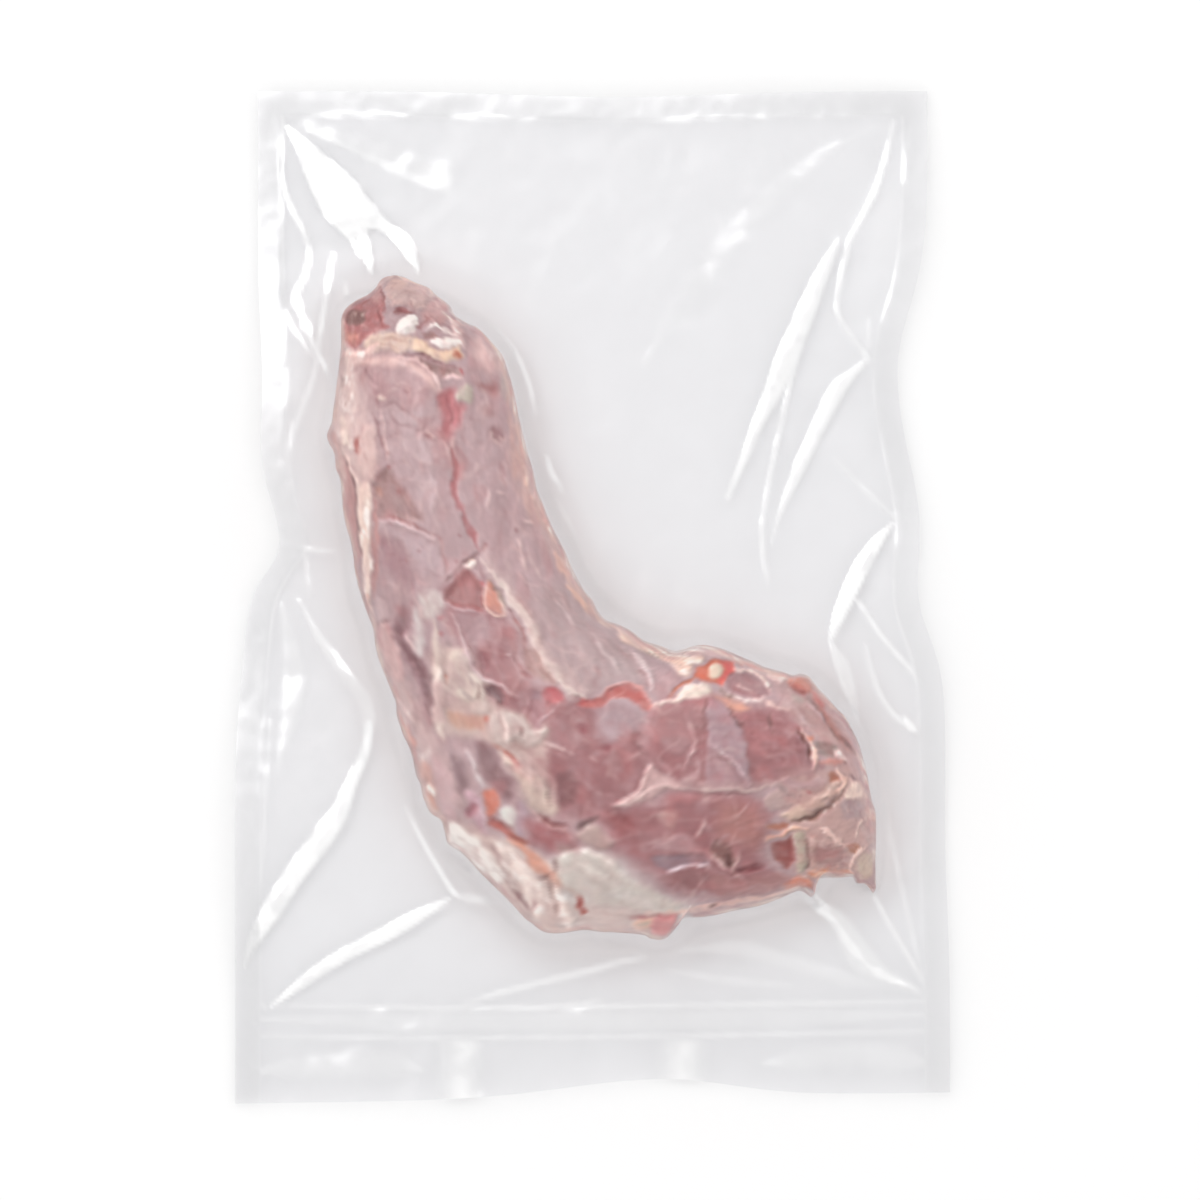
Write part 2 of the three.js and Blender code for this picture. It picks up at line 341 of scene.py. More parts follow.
outward = (left_soft - right_soft) / np.linalg.norm(left_soft - right_soft, axis=1)[:, None]
onward = np.gradient(smoothed((left_points + right_points) / 2), axis=0)
onward /= np.linalg.norm(onward, axis=1)[:, None]
drop = (thick_here - neck_z) * np.where(spots < 0.5, 1, -1)
tip_drop = (np.clip(TIP_BELOW - thick_at, 0, None) * np.where(station < 0.5, -1, 1))[:, None]
skin_x, skin_y = ((place + outward[:, k:k + 1] * drop + onward[:, k:k + 1] * tip_drop).ravel()
                  for k, place in enumerate((neck_x, neck_y)))
seen_x, seen_y = ((middle + (place - middle) / (1 - neck_z / CAMERA_HEIGHT)).ravel()
                  for middle, place in zip(PICTURE_CENTRE, (neck_x, neck_y)))
neck = Canvas(seen_x, seen_y, MEMBRANE, skin_x, skin_y)
print("colours for", len(neck.x), "places")

# %% [markdown]
# ## The large areas
# First the broad masses: two membrane-covered columns side by side down the shaft, the dark muscles of
# the foot, and paler fat along the outer side. Their soft edges and shallow grooves set the whole form.

# %% The large areas
patch, stroke = neck.patch, neck.stroke
patch(PALE_PINK, 7, 0.5, (-89, 84), (-82, 84), (-79, 72), (-77, 56), (-76, 42), (-82, 34), (-90, 50))
patch(rgb(192, 150, 152), 5, 0.5, (-80, 84), (-66, 84), (-56, 80), (-55, 73), (-62, 66), (-74, 68),
      (-80, 74), strength=0.5)
patch(MUSCLE, 6, -0.6, (-52, 4), (-44, 9), (-38, 4), (-30, -10), (-27, -22), (-18, -32), (0, -36),
      (12, -40), (18, -52), (22, -68), (14, -78), (2, -79), (-14, -76), (-24, -62), (-30, -50), (-40, -34),
      (-44, -20), (-50, -8))
patch(MUSCLE, 5, 0.8, (20, -40), (30, -36), (41, -35), (54, -38), (64, -38), (72, -44), (76, -54),
      (76, -62), (66, -64), (54, -67), (40, -67), (30, -66), (22, -62), (18, -52))
patch(MUSCLE, 5, 0.5, (10, -76), (18, -72), (30, -68), (54, -69), (62, -78), (60, -90), (66, -98),
      (60, -103), (44, -104), (28, -102), (18, -94), (6, -86))
patch(PALE_PINK, 5, 0.6, (-70, -28), (-62, -34), (-56, -42), (-52, -56), (-46, -68), (-46, -78), (-56, -76),
      (-62, -60), (-67, -44), strength=0.7)
patch(SILVER, 5, 0.4, (-14, -90), (0, -88), (12, -94), (24, -104), (34, -107), (34, -112), (10, -117),
      (-14, -117), (-22, -112), (-16, -100))
patch(rgb(207, 172, 165), 6, 0.3, (66, -62), (78, -60), (90, -58), (97, -72), (99, -86), (96, -99),
      (80, -97), (72, -98), (68, -84), strength=0.8)
patch(rgb(193, 158, 156), 5, 0.2, (62, -27), (74, -28), (84, -38), (92, -50), (92, -60), (82, -56),
      (76, -44), (66, -35), strength=0.8)
patch(rgb(156, 94, 96), 4.5, -0.5, (4, -73), (12, -74), (22, -73.5), (27, -77), (22, -83), (12, -83),
      (5, -80), strength=0.8)
patch(rgb(216, 186, 180), 5, 0.0, (-30, 50), (-24, 52), (-20, 40), (-14, 26), (-7, 12), (-2, 2), (-6, 2),
      (-14, 14), (-20, 26), (-26, 38), strength=0.7)
print("lift so far", round(neck.lift.min(), 2), "to", round(neck.lift.max(), 2), "mm")

# %% [markdown]
# ## The narrow end
# The top of the shaft is cut through: a dark red pocket at the left corner, a pale mauve lobe at the tip,
# white fat lumps and cream folds, and under them a shadowy hollow with a light edge of membrane.

# %% The narrow end
patch(rgb(188, 124, 124), 1.6, -1.4, (-87.5, 97), (-86, 100.5), (-83, 103), (-79, 105.2), (-76, 108),
      (-74, 108.2), (-72.8, 105), (-73, 97), (-71, 95), (-76, 92.5), (-80, 90), (-84, 87.3), (-87.8, 91))
patch(ORANGE, 3, 0, (-87, 93), (-84, 93), (-82, 91), (-84, 89), (-87, 90), strength=0.7)
stroke(rgb(224, 160, 150), (1.4, 2.2), 0.3, (-86.6, 96), (-86.2, 92.4), (-84.6, 90.6), (-82.4, 91),
       (-81.4, 92.4), strength=0.8)
stroke(rgb(214, 164, 160), (1.6, 2), 0.2, (-87.4, 90), (-86, 88), (-83, 87), (-80, 87.6), strength=0.7)
patch(rgb(228, 195, 190), 2, 0.5, (-78, 106), (-76, 108.5), (-74, 109.5), (-74, 106), (-76, 103),
      strength=0.5)
stroke(BLOOD, 0.9, -0.5, (-87, 97), (-86, 101), (-80.5, 105), (-75.5, 108.3), (-73.4, 106.5), (-73, 100))
stroke(BLOOD, 1.2, -0.5, (-75, 101), (-74.2, 98.5), (-73.5, 95.5), strength=0.8)
# painted shadow deep inside the red pocket, sunk a little
patch(rgb(150, 108, 104), 1.6, -1.2, (-86.4, 98.5), (-83.5, 101), (-79.5, 100.5), (-79, 98), (-81.5, 95.6),
      (-85, 95.5))
# small cream marks in the pocket: painted glints on its wet surface
patch(CREAM, 0.7, 0.5, (-83.6, 99.3), (-82.6, 99.6), (-82.7, 98.9), strength=0.8)
stroke(CREAM, 0.6, 0.4, (-80.6, 99.3), (-79.5, 98.7), strength=0.8)
stroke(CREAM, 0.7, 0.4, (-81, 95.8), (-78.8, 95), strength=0.6)
patch(rgb(216, 186, 182), 2, 1.2, (-72, 110), (-69, 112), (-65, 111.5), (-60, 109), (-57, 107), (-58, 102),
      (-62, 101), (-66, 102), (-70, 102), (-72.6, 105))
patch(PEACH, 3, 0.3, (-72, 111), (-69, 112), (-65, 111), (-67, 108), strength=0.6)
patch(BLOOD, 1.4, -1.4, (-70.2, 99.7), (-68, 101.2), (-65.5, 100.8), (-63.3, 99.3), (-65, 98.8),
      (-67.5, 98.6))
patch(PINK, 2.5, 0, (-60, 101), (-55, 105), (-50, 101), (-52, 96), (-58, 96), strength=0.8)
patch(PALE_PINK, 2, 0.9, (-51, 101), (-47.5, 98), (-45, 92), (-44.5, 87), (-48, 90), (-50, 96))
patch(WHITE_FAT, 1, 1.6, (-68.8, 94.8), (-67, 97.4), (-64, 98.8), (-61.6, 98.2), (-60.8, 95.8),
      (-61.8, 92.8), (-65, 92), (-69, 91.8))
stroke(BLOOD, (0.8, 0.5), -0.5, (-61, 94.5), (-59.5, 96), (-57, 98.6), strength=0.8)
stroke(WHITE_FAT, (1.0, 1.6), 0.7, (-58, 94), (-55, 94.9), (-52, 93.9), (-48, 91.6))
patch(rgb(180, 140, 138), 1.4, -0.8, (-59.4, 93), (-56, 92.8), (-53.6, 91.2), (-57.5, 90))
patch(WHITE_FAT, 0.9, 1.1, (-57.4, 89.3), (-55, 90.7), (-52, 91.2), (-48.5, 90.9), (-45.6, 89), (-48, 87.8),
      (-51, 87.1), (-54.5, 87.5))
patch(rgb(232, 207, 186), 1.4, 0.9, (-63, 91), (-59, 90.4), (-56, 87), (-51, 86.6), (-46.3, 88),
      (-45.8, 84.5), (-50, 82), (-54, 83.2), (-60, 85.4), (-63, 87))
patch(rgb(200, 130, 112), 1.4, -0.3, (-48.6, 86), (-46.6, 86.4), (-46.4, 83.6), (-48, 83.6), strength=0.9)
patch(rgb(224, 200, 188), 2, 0.9, (-80, 90.4), (-77, 92.4), (-73, 93.2), (-69, 92.6), (-63, 91), (-63, 87),
      (-66, 85.6), (-72, 86), (-79, 87))
stroke(TAN, 0.8, -0.4, (-74, 90.2), (-70, 90.6), (-65, 89.6))
stroke(TAN, 0.7, -0.3, (-77, 88.6), (-71, 88.2), (-66, 87), strength=0.7)
patch(GREY, 0.8, -0.3, (-64.3, 89.9), (-63.3, 89.9), (-63.6, 89), strength=0.8)
patch(rgb(243, 214, 208), 1.4, 0.9, (-89, 85.2), (-84, 87), (-80, 86.9), (-75, 89), (-77, 85.4), (-83, 84),
      (-88.6, 83.4))
stroke(DEEP, (0.9, 0.6), -0.9, (-66, 85.4), (-60, 85), (-57, 84), (-53.5, 82), (-50, 80.7), (-46, 79.3))
patch(rgb(176, 144, 141), 2.2, -2.0, (-63, 84.3), (-58, 83.4), (-52, 81), (-46.5, 78.4), (-48, 76.8),
      (-53, 77.3), (-57, 79.2), (-60, 81.7))
patch(RED, 1, 0, (-47, 79.4), (-45.6, 79.4), (-45.8, 78), strength=0.9)
patch(rgb(236, 206, 200), 3, 0.4, (-88, 84.5), (-80, 85), (-72, 85), (-65, 84), (-60, 81), (-56, 77.4),
      (-52, 72.4), (-54, 71.4), (-59, 76), (-63, 79), (-70, 81), (-78, 80.6), (-87, 81), strength=0.75)
stroke(rgb(232, 204, 202), 1.8, 0.7, (-67, 84.2), (-62, 83.3), (-58.5, 80.8), (-55.4, 77.8), (-52.5, 73))
stroke(rgb(233, 205, 205), 1.5, 0.7, (-52.5, 76.9), (-49.5, 76.6), (-46.3, 77.4))
patch(BROWN, 1.1, -0.6, (-87.9, 77), (-86.9, 76.6), (-87, 73.4), (-87.9, 73.6), strength=0.7)
stroke(ORANGE, 1.3, 0, (-89.6, 73), (-90.4, 66), (-90.8, 60), strength=0.6)
stroke(rgb(170, 132, 136), 0.8, -0.3, (-79.5, 81), (-79.2, 78), (-77, 76), (-74.6, 74.6), strength=0.7)
stroke(DEEP, 0.6, -0.2, (-70, 74.1), (-68, 73.4), strength=0.7)
stroke(DEEP, 0.6, -0.2, (-66.5, 72.8), (-64.5, 71.7), strength=0.7)
patch(CREAM, 1.4, 0.6, (-76, 70.6), (-74, 71), (-72.6, 69.8), (-74.6, 68.9), strength=0.8)
stroke(rgb(170, 132, 134), 0.9, -0.3, (-77.5, 65), (-76, 62), (-75, 58), (-73.6, 54), (-72.4, 48),
       strength=0.7)
stroke(PALE_PINK, 1.2, 0.4, (-74.4, 66), (-73.6, 60), (-72.8, 54), (-71, 47), strength=0.6)
stroke(rgb(170, 132, 134), 0.7, -0.3, (-74, 66.5), (-70, 67.6), (-67, 66), (-63, 63.6), strength=0.7)
stroke(rgb(166, 128, 130), 0.8, -0.3, (-71, 65), (-69.6, 62), (-67, 60), (-63, 59.4), (-60, 58.6),
       (-57.6, 61), strength=0.7)

# %% [markdown]
# ## The shaft, right-hand column
# A blood-stained patch shows through the membrane, and from it a red line runs down the groove between
# the two columns. The outer margin is tan, with a row of small fat lumps.

# %% The shaft, right-hand column
patch(rgb(196, 124, 128), 3, -0.7, (-54, 72), (-48, 73), (-47, 69), (-44.4, 66.4), (-45.5, 64), (-46.5, 61),
      (-48, 58.5), (-50, 55), (-54, 57.5), (-53, 62), (-54, 66))
stroke(rgb(176, 104, 110), (2, 1.4), -0.4, (-51, 71), (-49.6, 64), (-50.6, 58), strength=0.6)
stroke(PALE_PINK, 0.8, 0.4, (-52.5, 55), (-50, 51.5), (-48.5, 56))
stroke(DEEP, 0.8, -0.5, (-58.3, 57), (-56.5, 55.4), (-54.5, 54.8))
stroke(CREAM, 0.8, 0.4, (-58.3, 58), (-56.4, 56.5), (-54.3, 56), strength=0.7)
stroke(rgb(190, 124, 127), (3, 1.5), -0.6, (-49.5, 52), (-48.3, 48), (-47.8, 45), (-48, 36), (-45.5, 31),
       (-43, 25), (-41, 20), (-40.2, 16.5))
patch(OLIVE, 1.4, 0.8, (-47.7, 71.2), (-47, 69.3), (-45, 68.2), (-42.4, 68.7), (-42, 72), (-44, 74.5))
patch(rgb(172, 118, 117), 3.4, -0.4, (-41.2, 74.4), (-36.5, 74.8), (-32.8, 73.6), (-33.4, 71), (-36, 71.2),
      strength=0.8)
patch(rgb(180, 138, 138), 2.6, -0.3, (-39, 67), (-36.5, 66.6), (-34.6, 64), (-37, 63.8), strength=0.7)
patch(rgb(170, 131, 134), 2.2, -0.5, (-36, 58.6), (-34, 60.2), (-31.4, 57), (-32.8, 54), (-35, 56),
      strength=0.8)
stroke(rgb(224, 204, 200), 0.8, 0.4, (-35.4, 58.4), (-34.4, 55.6), (-32.6, 53.4), strength=0.8)
stroke(PALE_PINK, 0.9, 0.3, (-32.8, 56), (-31, 55.6), strength=0.7)
patch(rgb(232, 202, 198), 5, 0.6, (-40, 92), (-34, 87), (-31, 80), (-36, 79), (-42, 84), strength=0.8)
patch(OLIVE, 3, 0, (-31, 78), (-28.5, 74), (-27, 68), (-30, 68), (-32, 73), strength=0.5)
stroke(rgb(214, 176, 166), (4, 7), -0.1, (-30, 72), (-28, 60), (-25.6, 50), (-22.6, 40), (-18.6, 30),
       (-13.6, 20), strength=0.55)
stroke(rgb(220, 182, 170), (2.2, 3.4), -0.1, (-28, 70), (-26, 60), (-23.5, 50), (-20.5, 40), (-17, 30),
       (-12, 20), strength=0.8)
for lump in ((-23, 40.5), (-20.2, 35.5), (-16.2, 27.2), (-14.2, 24.3)):
    x, y = lump
    patch(rgb(228, 195, 183), 1, 0.7, (x - 1.3, y - 1), (x - 0.9, y + 1.3), (x + 1, y + 1.2),
          (x + 1.1, y - 1.2))
stroke(PALE_PINK, (1.6, 1), 0.5, (-36, 37.5), (-36.8, 34.5), (-37, 31), strength=0.7)
stroke(PALE_PINK, (1.2, 1.6), 0.5, (-26.5, 21), (-25, 16), (-23.5, 10), strength=0.8)
stroke(PALE_PINK, 1, 0.4, (-24.2, 27), (-20.4, 26.4), strength=0.8)
stroke(PALE_PINK, 0.9, 0.4, (-33.2, 36.6), (-30.8, 36), strength=0.8)
patch(DEEP, 0.8, -0.4, (-27.2, 24.2), (-26.2, 24.2), (-26.6, 23.3))
stroke(rgb(222, 188, 176), 3.4, 0.4, (-13, 16), (-9, 8), (-6, 2.4), (-2, -3))

# %% [markdown]
# ## The shaft, left-hand column
# Down the left edge runs a white tendon with a pink stripe beside it, and above it a fold of darker,
# orange-rimmed flesh. The grey membrane of the column ends lower down in a thin dark line.

# %% The shaft, left-hand column
# painted sheen: a pale streak on the ridge of the left column, as of the film's reflection
stroke(rgb(206, 186, 189), (2.5, 4), 0.3, (-60, 58), (-58.5, 50), (-56, 40), (-56, 30), strength=0.6)
patch(rgb(206, 160, 158), 1.8, -0.5, (-92.4, 57), (-90.6, 57.4), (-88, 53), (-86.5, 49), (-85, 45),
      (-84, 41), (-82.8, 38), (-82.5, 34), (-82.7, 30), (-82, 25), (-81.5, 20), (-80.8, 15), (-84, 11),
      (-86, 20), (-88, 32), (-89, 42))
stroke(rgb(150, 108, 108), (0.7, 1.0), -0.6, (-88, 53), (-85, 44.6), (-83, 38), (-82.7, 30), (-82, 24),
       (-81, 15))
stroke(CREAM, (2, 2.6), 0.6, (-88, 64), (-86.8, 58), (-85, 52), strength=0.9)
stroke(rgb(190, 112, 106), (1.1, 0.8), -0.5, (-82.5, 55.6), (-82.6, 53), (-82, 50.6))
stroke(rgb(240, 216, 209), (1.2, 1.8), 0.5, (-87.2, 51), (-85.5, 48.5), (-84.6, 45), (-82.8, 41.8),
       (-81.4, 38.8))
patch(rgb(238, 216, 207), 1.3, 0.9, (-82.2, 39), (-82.6, 32.5), (-82.2, 25), (-81.2, 18), (-80.4, 12),
      (-80.2, 5), (-79, -2.4), (-77.8, -1.5), (-77.4, 5), (-77.2, 12), (-77.1, 19), (-77.3, 32),
      (-76.8, 39), (-79, 41))
stroke(rgb(214, 165, 161), (1.8, 2.6), -0.4, (-76.2, 39), (-76.2, 30), (-76, 18), (-76, 8), (-76.4, 0),
       strength=0.9)
patch(rgb(226, 198, 193), 3, 0.6, (-81, 60), (-76.4, 60), (-75, 50), (-75.6, 41), (-80, 42), (-82, 50),
      strength=0.8)
patch(rgb(181, 148, 147), 2.6, -1.3, (-76.4, 41.6), (-71, 45), (-67.4, 40.4), (-64.5, 36), (-61, 30.6),
      (-59, 27), (-66, 26.8), (-72, 28.6), (-75.4, 29))
patch(rgb(190, 140, 129), 1.4, 0, (-75.4, 38.6), (-73.8, 38.6), (-73.6, 36), (-75, 36), strength=0.8)
stroke(rgb(176, 124, 124), 0.9, -0.5, (-74.6, 28.5), (-69, 28), (-66, 26.5), (-60, 24.2), (-55, 22),
       strength=0.9)
stroke(rgb(214, 190, 193), 1.3, 0.7, (-74, 26.9), (-68, 26.2), (-65, 24.7), (-60, 22.6), (-55.5, 20.3))
stroke(rgb(196, 150, 150), 0.8, -0.4, (-55, 21.6), (-53, 19), (-52, 15), (-51.5, 11), (-52, 7),
       strength=0.9)
patch(rgb(200, 178, 183), 4, 0.4, (-73, 25), (-66, 23), (-58, 20), (-54, 16), (-54, 8), (-60, 9), (-64, 16),
      strength=0.7)
patch(rgb(180, 144, 149), 4, -0.7, (-74, 21), (-68, 20), (-64, 14), (-61, 6), (-64, 2), (-71, 8), (-75, 14),
      strength=0.9)
for x, y in ((-71.7, 50.3), (-71, 45.5), (-67.8, 37.3), (-46.5, 21.5), (-47.3, 12.3), (-60.2, 16.7),
             (-65, 12.5)):
    patch(BLOOD, 0.7, -0.4, (x - 0.5, y - 0.4), (x - 0.3, y + 0.5), (x + 0.5, y + 0.2), strength=0.8)

# %% [markdown]
# ## Where shaft and foot meet
# A pale ligament slants down from the groove's end. Beside it lies a small triangle of dark muscle in an
# orange loop, and on its left a deep purple valley with a silvery streak.

# %% Where shaft and foot meet
stroke(BROWN, (0.8, 1.1), -1.0, (-40.4, 15.8), (-43, 13), (-45.5, 10.5), (-49, 7.5), (-51.4, 5.2),
       strength=0.9)
patch(CREAM, 0.8, 0.6, (-45.2, 10.4), (-42.2, 13.2), (-41, 12.2), (-42.4, 10))
stroke(BLOOD, 0.7, -0.5, (-37.7, 19.2), (-39, 16.5), strength=0.8)
patch(rgb(214, 192, 189), 4, 0.8, (-38, 18), (-34, 12), (-28, 4), (-20, -6), (-16, -16), (-8, -24),
      (0, -32), (-6, -36), (-14, -30), (-21, -20), (-23, -10), (-30, 0), (-38, 11), strength=0.7)
stroke(rgb(222, 205, 199), (2.4, 4.6), 0.6, (-39.4, 13.6), (-35.6, 9), (-31.6, 3.6), (-28, -1.6),
       (-24.5, -5), (-21.6, -9.5), (-20.4, -14), (-18.2, -20), (-15, -25), (-11.5, -29), (-7, -32.5),
       (-2, -35.6))
stroke(rgb(155, 135, 126), (0.8, 0.8), -0.7, (-36.5, 6.4), (-33, 2), (-30, -2.2), strength=0.9)
stroke(rgb(237, 190, 176), (2.2, 1.2), 0.3, (-78.5, 1), (-78.6, -2.4), (-77.6, -5))
patch(rgb(236, 214, 209), 2, 0.5, (-79.2, -3), (-76.8, -4), (-75.4, -11), (-77, -12), strength=0.9)
patch(rgb(214, 190, 191), 2.5, 0.4, (-76.4, -1), (-73, -1), (-71.4, -9), (-74.8, -10.4), strength=0.9)
stroke(DEEP, 0.7, -0.6, (-75.4, -10.4), (-73, -9), (-70.8, -6.8), strength=0.8)
patch(rgb(211, 173, 173), 3, 0.5, (-76, -12), (-71, -9), (-68, -18), (-65, -26), (-68, -30), (-72, -27),
      (-75, -18))
patch(rgb(158, 119, 124), 2.6, -2.2, (-69, -8), (-66.4, -3), (-63.6, -8), (-64, -12), (-65.4, -14),
      (-63, -18), (-60.4, -21), (-57, -27), (-55, -33), (-55, -40), (-55.8, -45), (-58, -41), (-59.4, -36),
      (-61.4, -30), (-65, -24), (-68, -17), (-69.4, -12))
stroke(PALE_PINK, 0.7, 0.5, (-65, -13), (-63.4, -16), (-61.5, -19))
patch(rgb(210, 197, 196), 2.2, 0.5, (-62.8, -4), (-60.2, -5), (-59.2, -12), (-59.2, -19), (-60.7, -21.4),
      (-62, -18), (-62.6, -11))
patch(rgb(214, 202, 199), 3, 0.3, (-61, 0.5), (-56, 2), (-52.6, 0), (-53, -4.2), (-57, -8), (-60, -6))
patch(rgb(212, 192, 184), 4, 0.4, (-56, -16), (-50, -17), (-43, -18), (-38, -28), (-34, -37), (-22, -41),
      (-15, -47), (-15, -60), (-12, -75), (-20, -76), (-29, -63), (-36, -52), (-46, -49), (-55, -46),
      (-57, -34), strength=0.75)
stroke(rgb(216, 200, 192), (3, 2.2), 0.5, (-55.4, -8), (-55, -16), (-54.5, -24), (-54, -30))
for y in (-7, -12.2):
    patch(RED, 1, 0, (-54.3, y), (-53.4, y + 0.9), (-52.7, y), (-53.5, y - 1), strength=0.6)
patch(GREY, 1.6, -0.3, (-51.4, -15.6), (-49, -15.4), (-49, -18), (-51, -17.6), strength=0.8)
stroke(rgb(228, 210, 202), (3, 4), 0.6, (-56, -21.5), (-54.4, -28), (-53.6, -35), (-54, -43), (-52.4, -50))
stroke(rgb(205, 120, 104), 1, -0.3, (-51.4, -27), (-50.8, -29.8), strength=0.9)
patch(rgb(216, 201, 192), 2.4, 1.0, (-50.6, -20), (-44, -18), (-42, -26), (-36, -30), (-38.4, -36),
      (-44, -36.6), (-49, -33), (-51, -26))
stroke(GREY, 0.8, -0.5, (-44, -26.6), (-42.4, -29), (-41, -31.6))
stroke(GREY, 0.8, -0.5, (-46.4, -31.6), (-44, -34.4), (-42, -36.4))
stroke(BROWN, 0.9, -0.7, (-39.4, -30.8), (-39.6, -33), (-40.6, -35.8), strength=0.7)
patch(rgb(216, 195, 189), 1.6, 0.3, (-43.2, -37), (-40, -35.8), (-37.4, -36.6), (-37.4, -39.6),
      (-42, -40.6))
patch(rgb(206, 170, 156), 2.4, 0, (-50, -40), (-44, -41), (-37, -42), (-38, -46), (-46, -46), (-50, -44))
patch(rgb(210, 138, 126), 1.4, 0, (-37.6, -41), (-35.6, -41.2), (-35.8, -43.4), (-37.4, -43))

# %% [markdown]
# ## The middle
# The dark triangle of muscle, the orange loop, and the band of muscle that follows the ligament down,
# with its red seam and a small dark hole.

# %% The middle
patch(rgb(176, 122, 122), 1.6, -1.0, (-52, 0), (-48.4, 6.6), (-44, 9.2), (-40, 6.4), (-38, 1.4),
      (-37.4, -4.4), (-44, -4), (-51, -2.4))
stroke(LILAC, 0.9, 0.6, (-51, 4.4), (-47.6, 8.6), (-43.6, 11), (-39.4, 7.6), strength=0.8)
stroke(LILAC, 0.9, 0.5, (-52.4, -1.6), (-46, -4.6), (-39, -5.4), strength=0.6)
patch(RED, 1, 0, (-39.2, 6), (-37.8, 5.8), (-38, 4), (-39.2, 4.4), strength=0.9)
patch(rgb(214, 156, 142), 1.3, 0.3, (-36.2, 6), (-37.6, 1), (-36.4, -3.6), (-34.2, -5), (-31.8, -5.2),
      (-31.6, -2), (-33.2, 2))
stroke(rgb(240, 212, 198), 0.9, 0.7, (-36, 7), (-38, 1), (-37, -3.6), (-34.5, -5.9), (-31.3, -6),
       (-31, -2.6), (-33, 2.2))
patch(BROWN, 0.5, -0.5, (-29, -3.9), (-28.6, -3.4), (-28.2, -3.9), (-28.6, -4.4))
patch(rgb(183, 149, 153), 3, 0, (-49, -4.8), (-42, -5.6), (-36.4, -7), (-36, -14), (-42, -17), (-47, -12))
stroke(rgb(210, 187, 189), (1, 1.5), 0.8, (-50, -5.6), (-47, -12), (-45, -16), (-43.5, -20), (-41, -25),
       (-37, -29), (-32, -31), (-26, -35))
patch(rgb(158, 103, 108), 3, -0.6, (-41.4, -20), (-38, -19), (-36, -24), (-39, -26.4), strength=0.7)
patch(WHITE_FAT, 0.5, 0.4, (-30.4, -19.7), (-30, -19.3), (-29.6, -19.8), (-30, -20.1))
patch(rgb(150, 114, 117), 2, -0.7, (-38, -30.4), (-33, -31.6), (-30.6, -34.6), (-31.6, -37), (-36, -35))
patch(BROWN, 1, -1.3, (-33.9, -36.4), (-32.8, -35.9), (-32, -37.2), (-33.2, -38))
patch(BROWN, 0.6, -0.4, (-31.4, -37.5), (-31, -37.1), (-30.6, -37.6), (-31, -37.9))
stroke(rgb(244, 226, 222), 0.9, 0.6, (-69, -35), (-66.5, -38), (-64.5, -41), (-62.5, -44))
stroke(rgb(229, 156, 143), (1.8, 2.2), 0, (-68, -40.5), (-66, -45.4), (-63.4, -50), (-62.4, -55))
patch(rgb(190, 156, 151), 2, -0.3, (-24, -18), (-20, -18.6), (-16, -24), (-13, -30), (-18, -29), (-23, -25))
stroke(rgb(192, 130, 126), (1.2, 0.9), -0.4, (-28.4, -5), (-25.6, -10), (-23.3, -14), (-23.8, -17.4),
       strength=0.9)
stroke(rgb(170, 108, 110), (0.9, 1.2), -0.6, (-26.6, -17.6), (-26.6, -22), (-24.2, -26), (-21, -27.8))
patch(rgb(200, 112, 117), 2, -0.5, (-18, -35), (-15, -31.4), (-11.6, -32.6), (-9.6, -36), (-14, -37.6))
patch(BLOOD, 1, -0.5, (-16.4, -36.8), (-15, -36), (-14.4, -37.6), (-15.8, -38.2), strength=0.6)
patch(rgb(192, 172, 173), 6, 0.4, (-22, 2), (-10, 6), (-4, 0), (2, -8), (12, -13), (18, -18), (20, -28),
      (8, -31), (-2, -31), (-12, -22), (-18, -10), strength=0.8)
stroke(rgb(214, 198, 198), 1.1, 0.4, (-13.4, -0.6), (-9, -5), (-6.6, -9.4), strength=0.8)
# painted sheen: a pale streak on the ridge, as of the film's reflection
stroke(rgb(212, 196, 196), 1.4, 0.4, (0, -13), (4, -19), (7, -22), (9.4, -26.4), strength=0.8)
stroke(rgb(222, 188, 174), (3, 2.4), 0.3, (-9, 4), (-3, -2), (2.4, -6.6), (8, -10.6))
patch(rgb(198, 120, 116), 1.2, -0.5, (-4, -36.6), (0, -35.8), (3, -34.2), (6, -31.3), (10, -30),
      (14, -30.8), (18, -33.3), (20.5, -37), (20.9, -39.8), (17.4, -38.8), (14, -36.8), (10, -35.2),
      (6, -35.6), (3, -38), (-2, -38.6))
stroke(rgb(226, 170, 164), 0.8, 0.3, (2, -34.7), (6, -31.1), (10, -29.7), (14, -30.4), (18, -32.8),
       (20.8, -36.6))
stroke(rgb(206, 116, 116), (1.4, 1.2), -0.3, (-5.4, -37.2), (-1, -36.2), (2, -37.4))
# painted highlight: a soft grey-lilac sheen on the muscle under the red seam, raised a little
patch(rgb(186, 160, 165), 5, 0.6, (2, -38.6), (9, -36), (15, -38), (17.4, -41), (15, -47), (10, -51.4),
      (3, -50.4), (1, -44))
patch(DEEP, 0.6, -0.3, (6.1, -32.4), (6.5, -32), (6.9, -32.4), (6.5, -32.8))
patch(rgb(164, 96, 102), 2.4, -0.3, (-4.4, -44), (-2, -44), (-2, -46.6), (-4, -46.4), strength=0.8)
patch(rgb(164, 96, 102), 2.4, -0.3, (3.6, -52), (6.2, -52), (6, -54.4), (4, -54.4), strength=0.8)
patch(rgb(165, 125, 132), 2, -0.3, (-21.4, -33), (-17, -34), (-17, -42), (-19, -46.4), (-21.4, -42))
stroke(LILAC, 0.7, 0.4, (-22, -35), (-22.5, -38), (-24, -41), strength=0.9)
stroke(LILAC, 0.7, 0.4, (-13, -39), (-17, -42), (-19.5, -45), (-20, -48), strength=0.9)
patch(rgb(206, 188, 183), 1.6, 0.8, (-35, -40), (-30, -39.6), (-24, -41), (-22, -43), (-20.6, -46),
      (-16, -46), (-17.6, -51), (-22, -52.4), (-27, -50), (-33, -52), (-36, -47))
stroke(rgb(232, 214, 208), 1.4, 0.6, (-31.6, -41.4), (-30, -47), (-29, -52))
stroke(BROWN, (1, 1.4), -0.8, (-24.8, -45.4), (-24, -47), (-24.4, -49), strength=0.6)
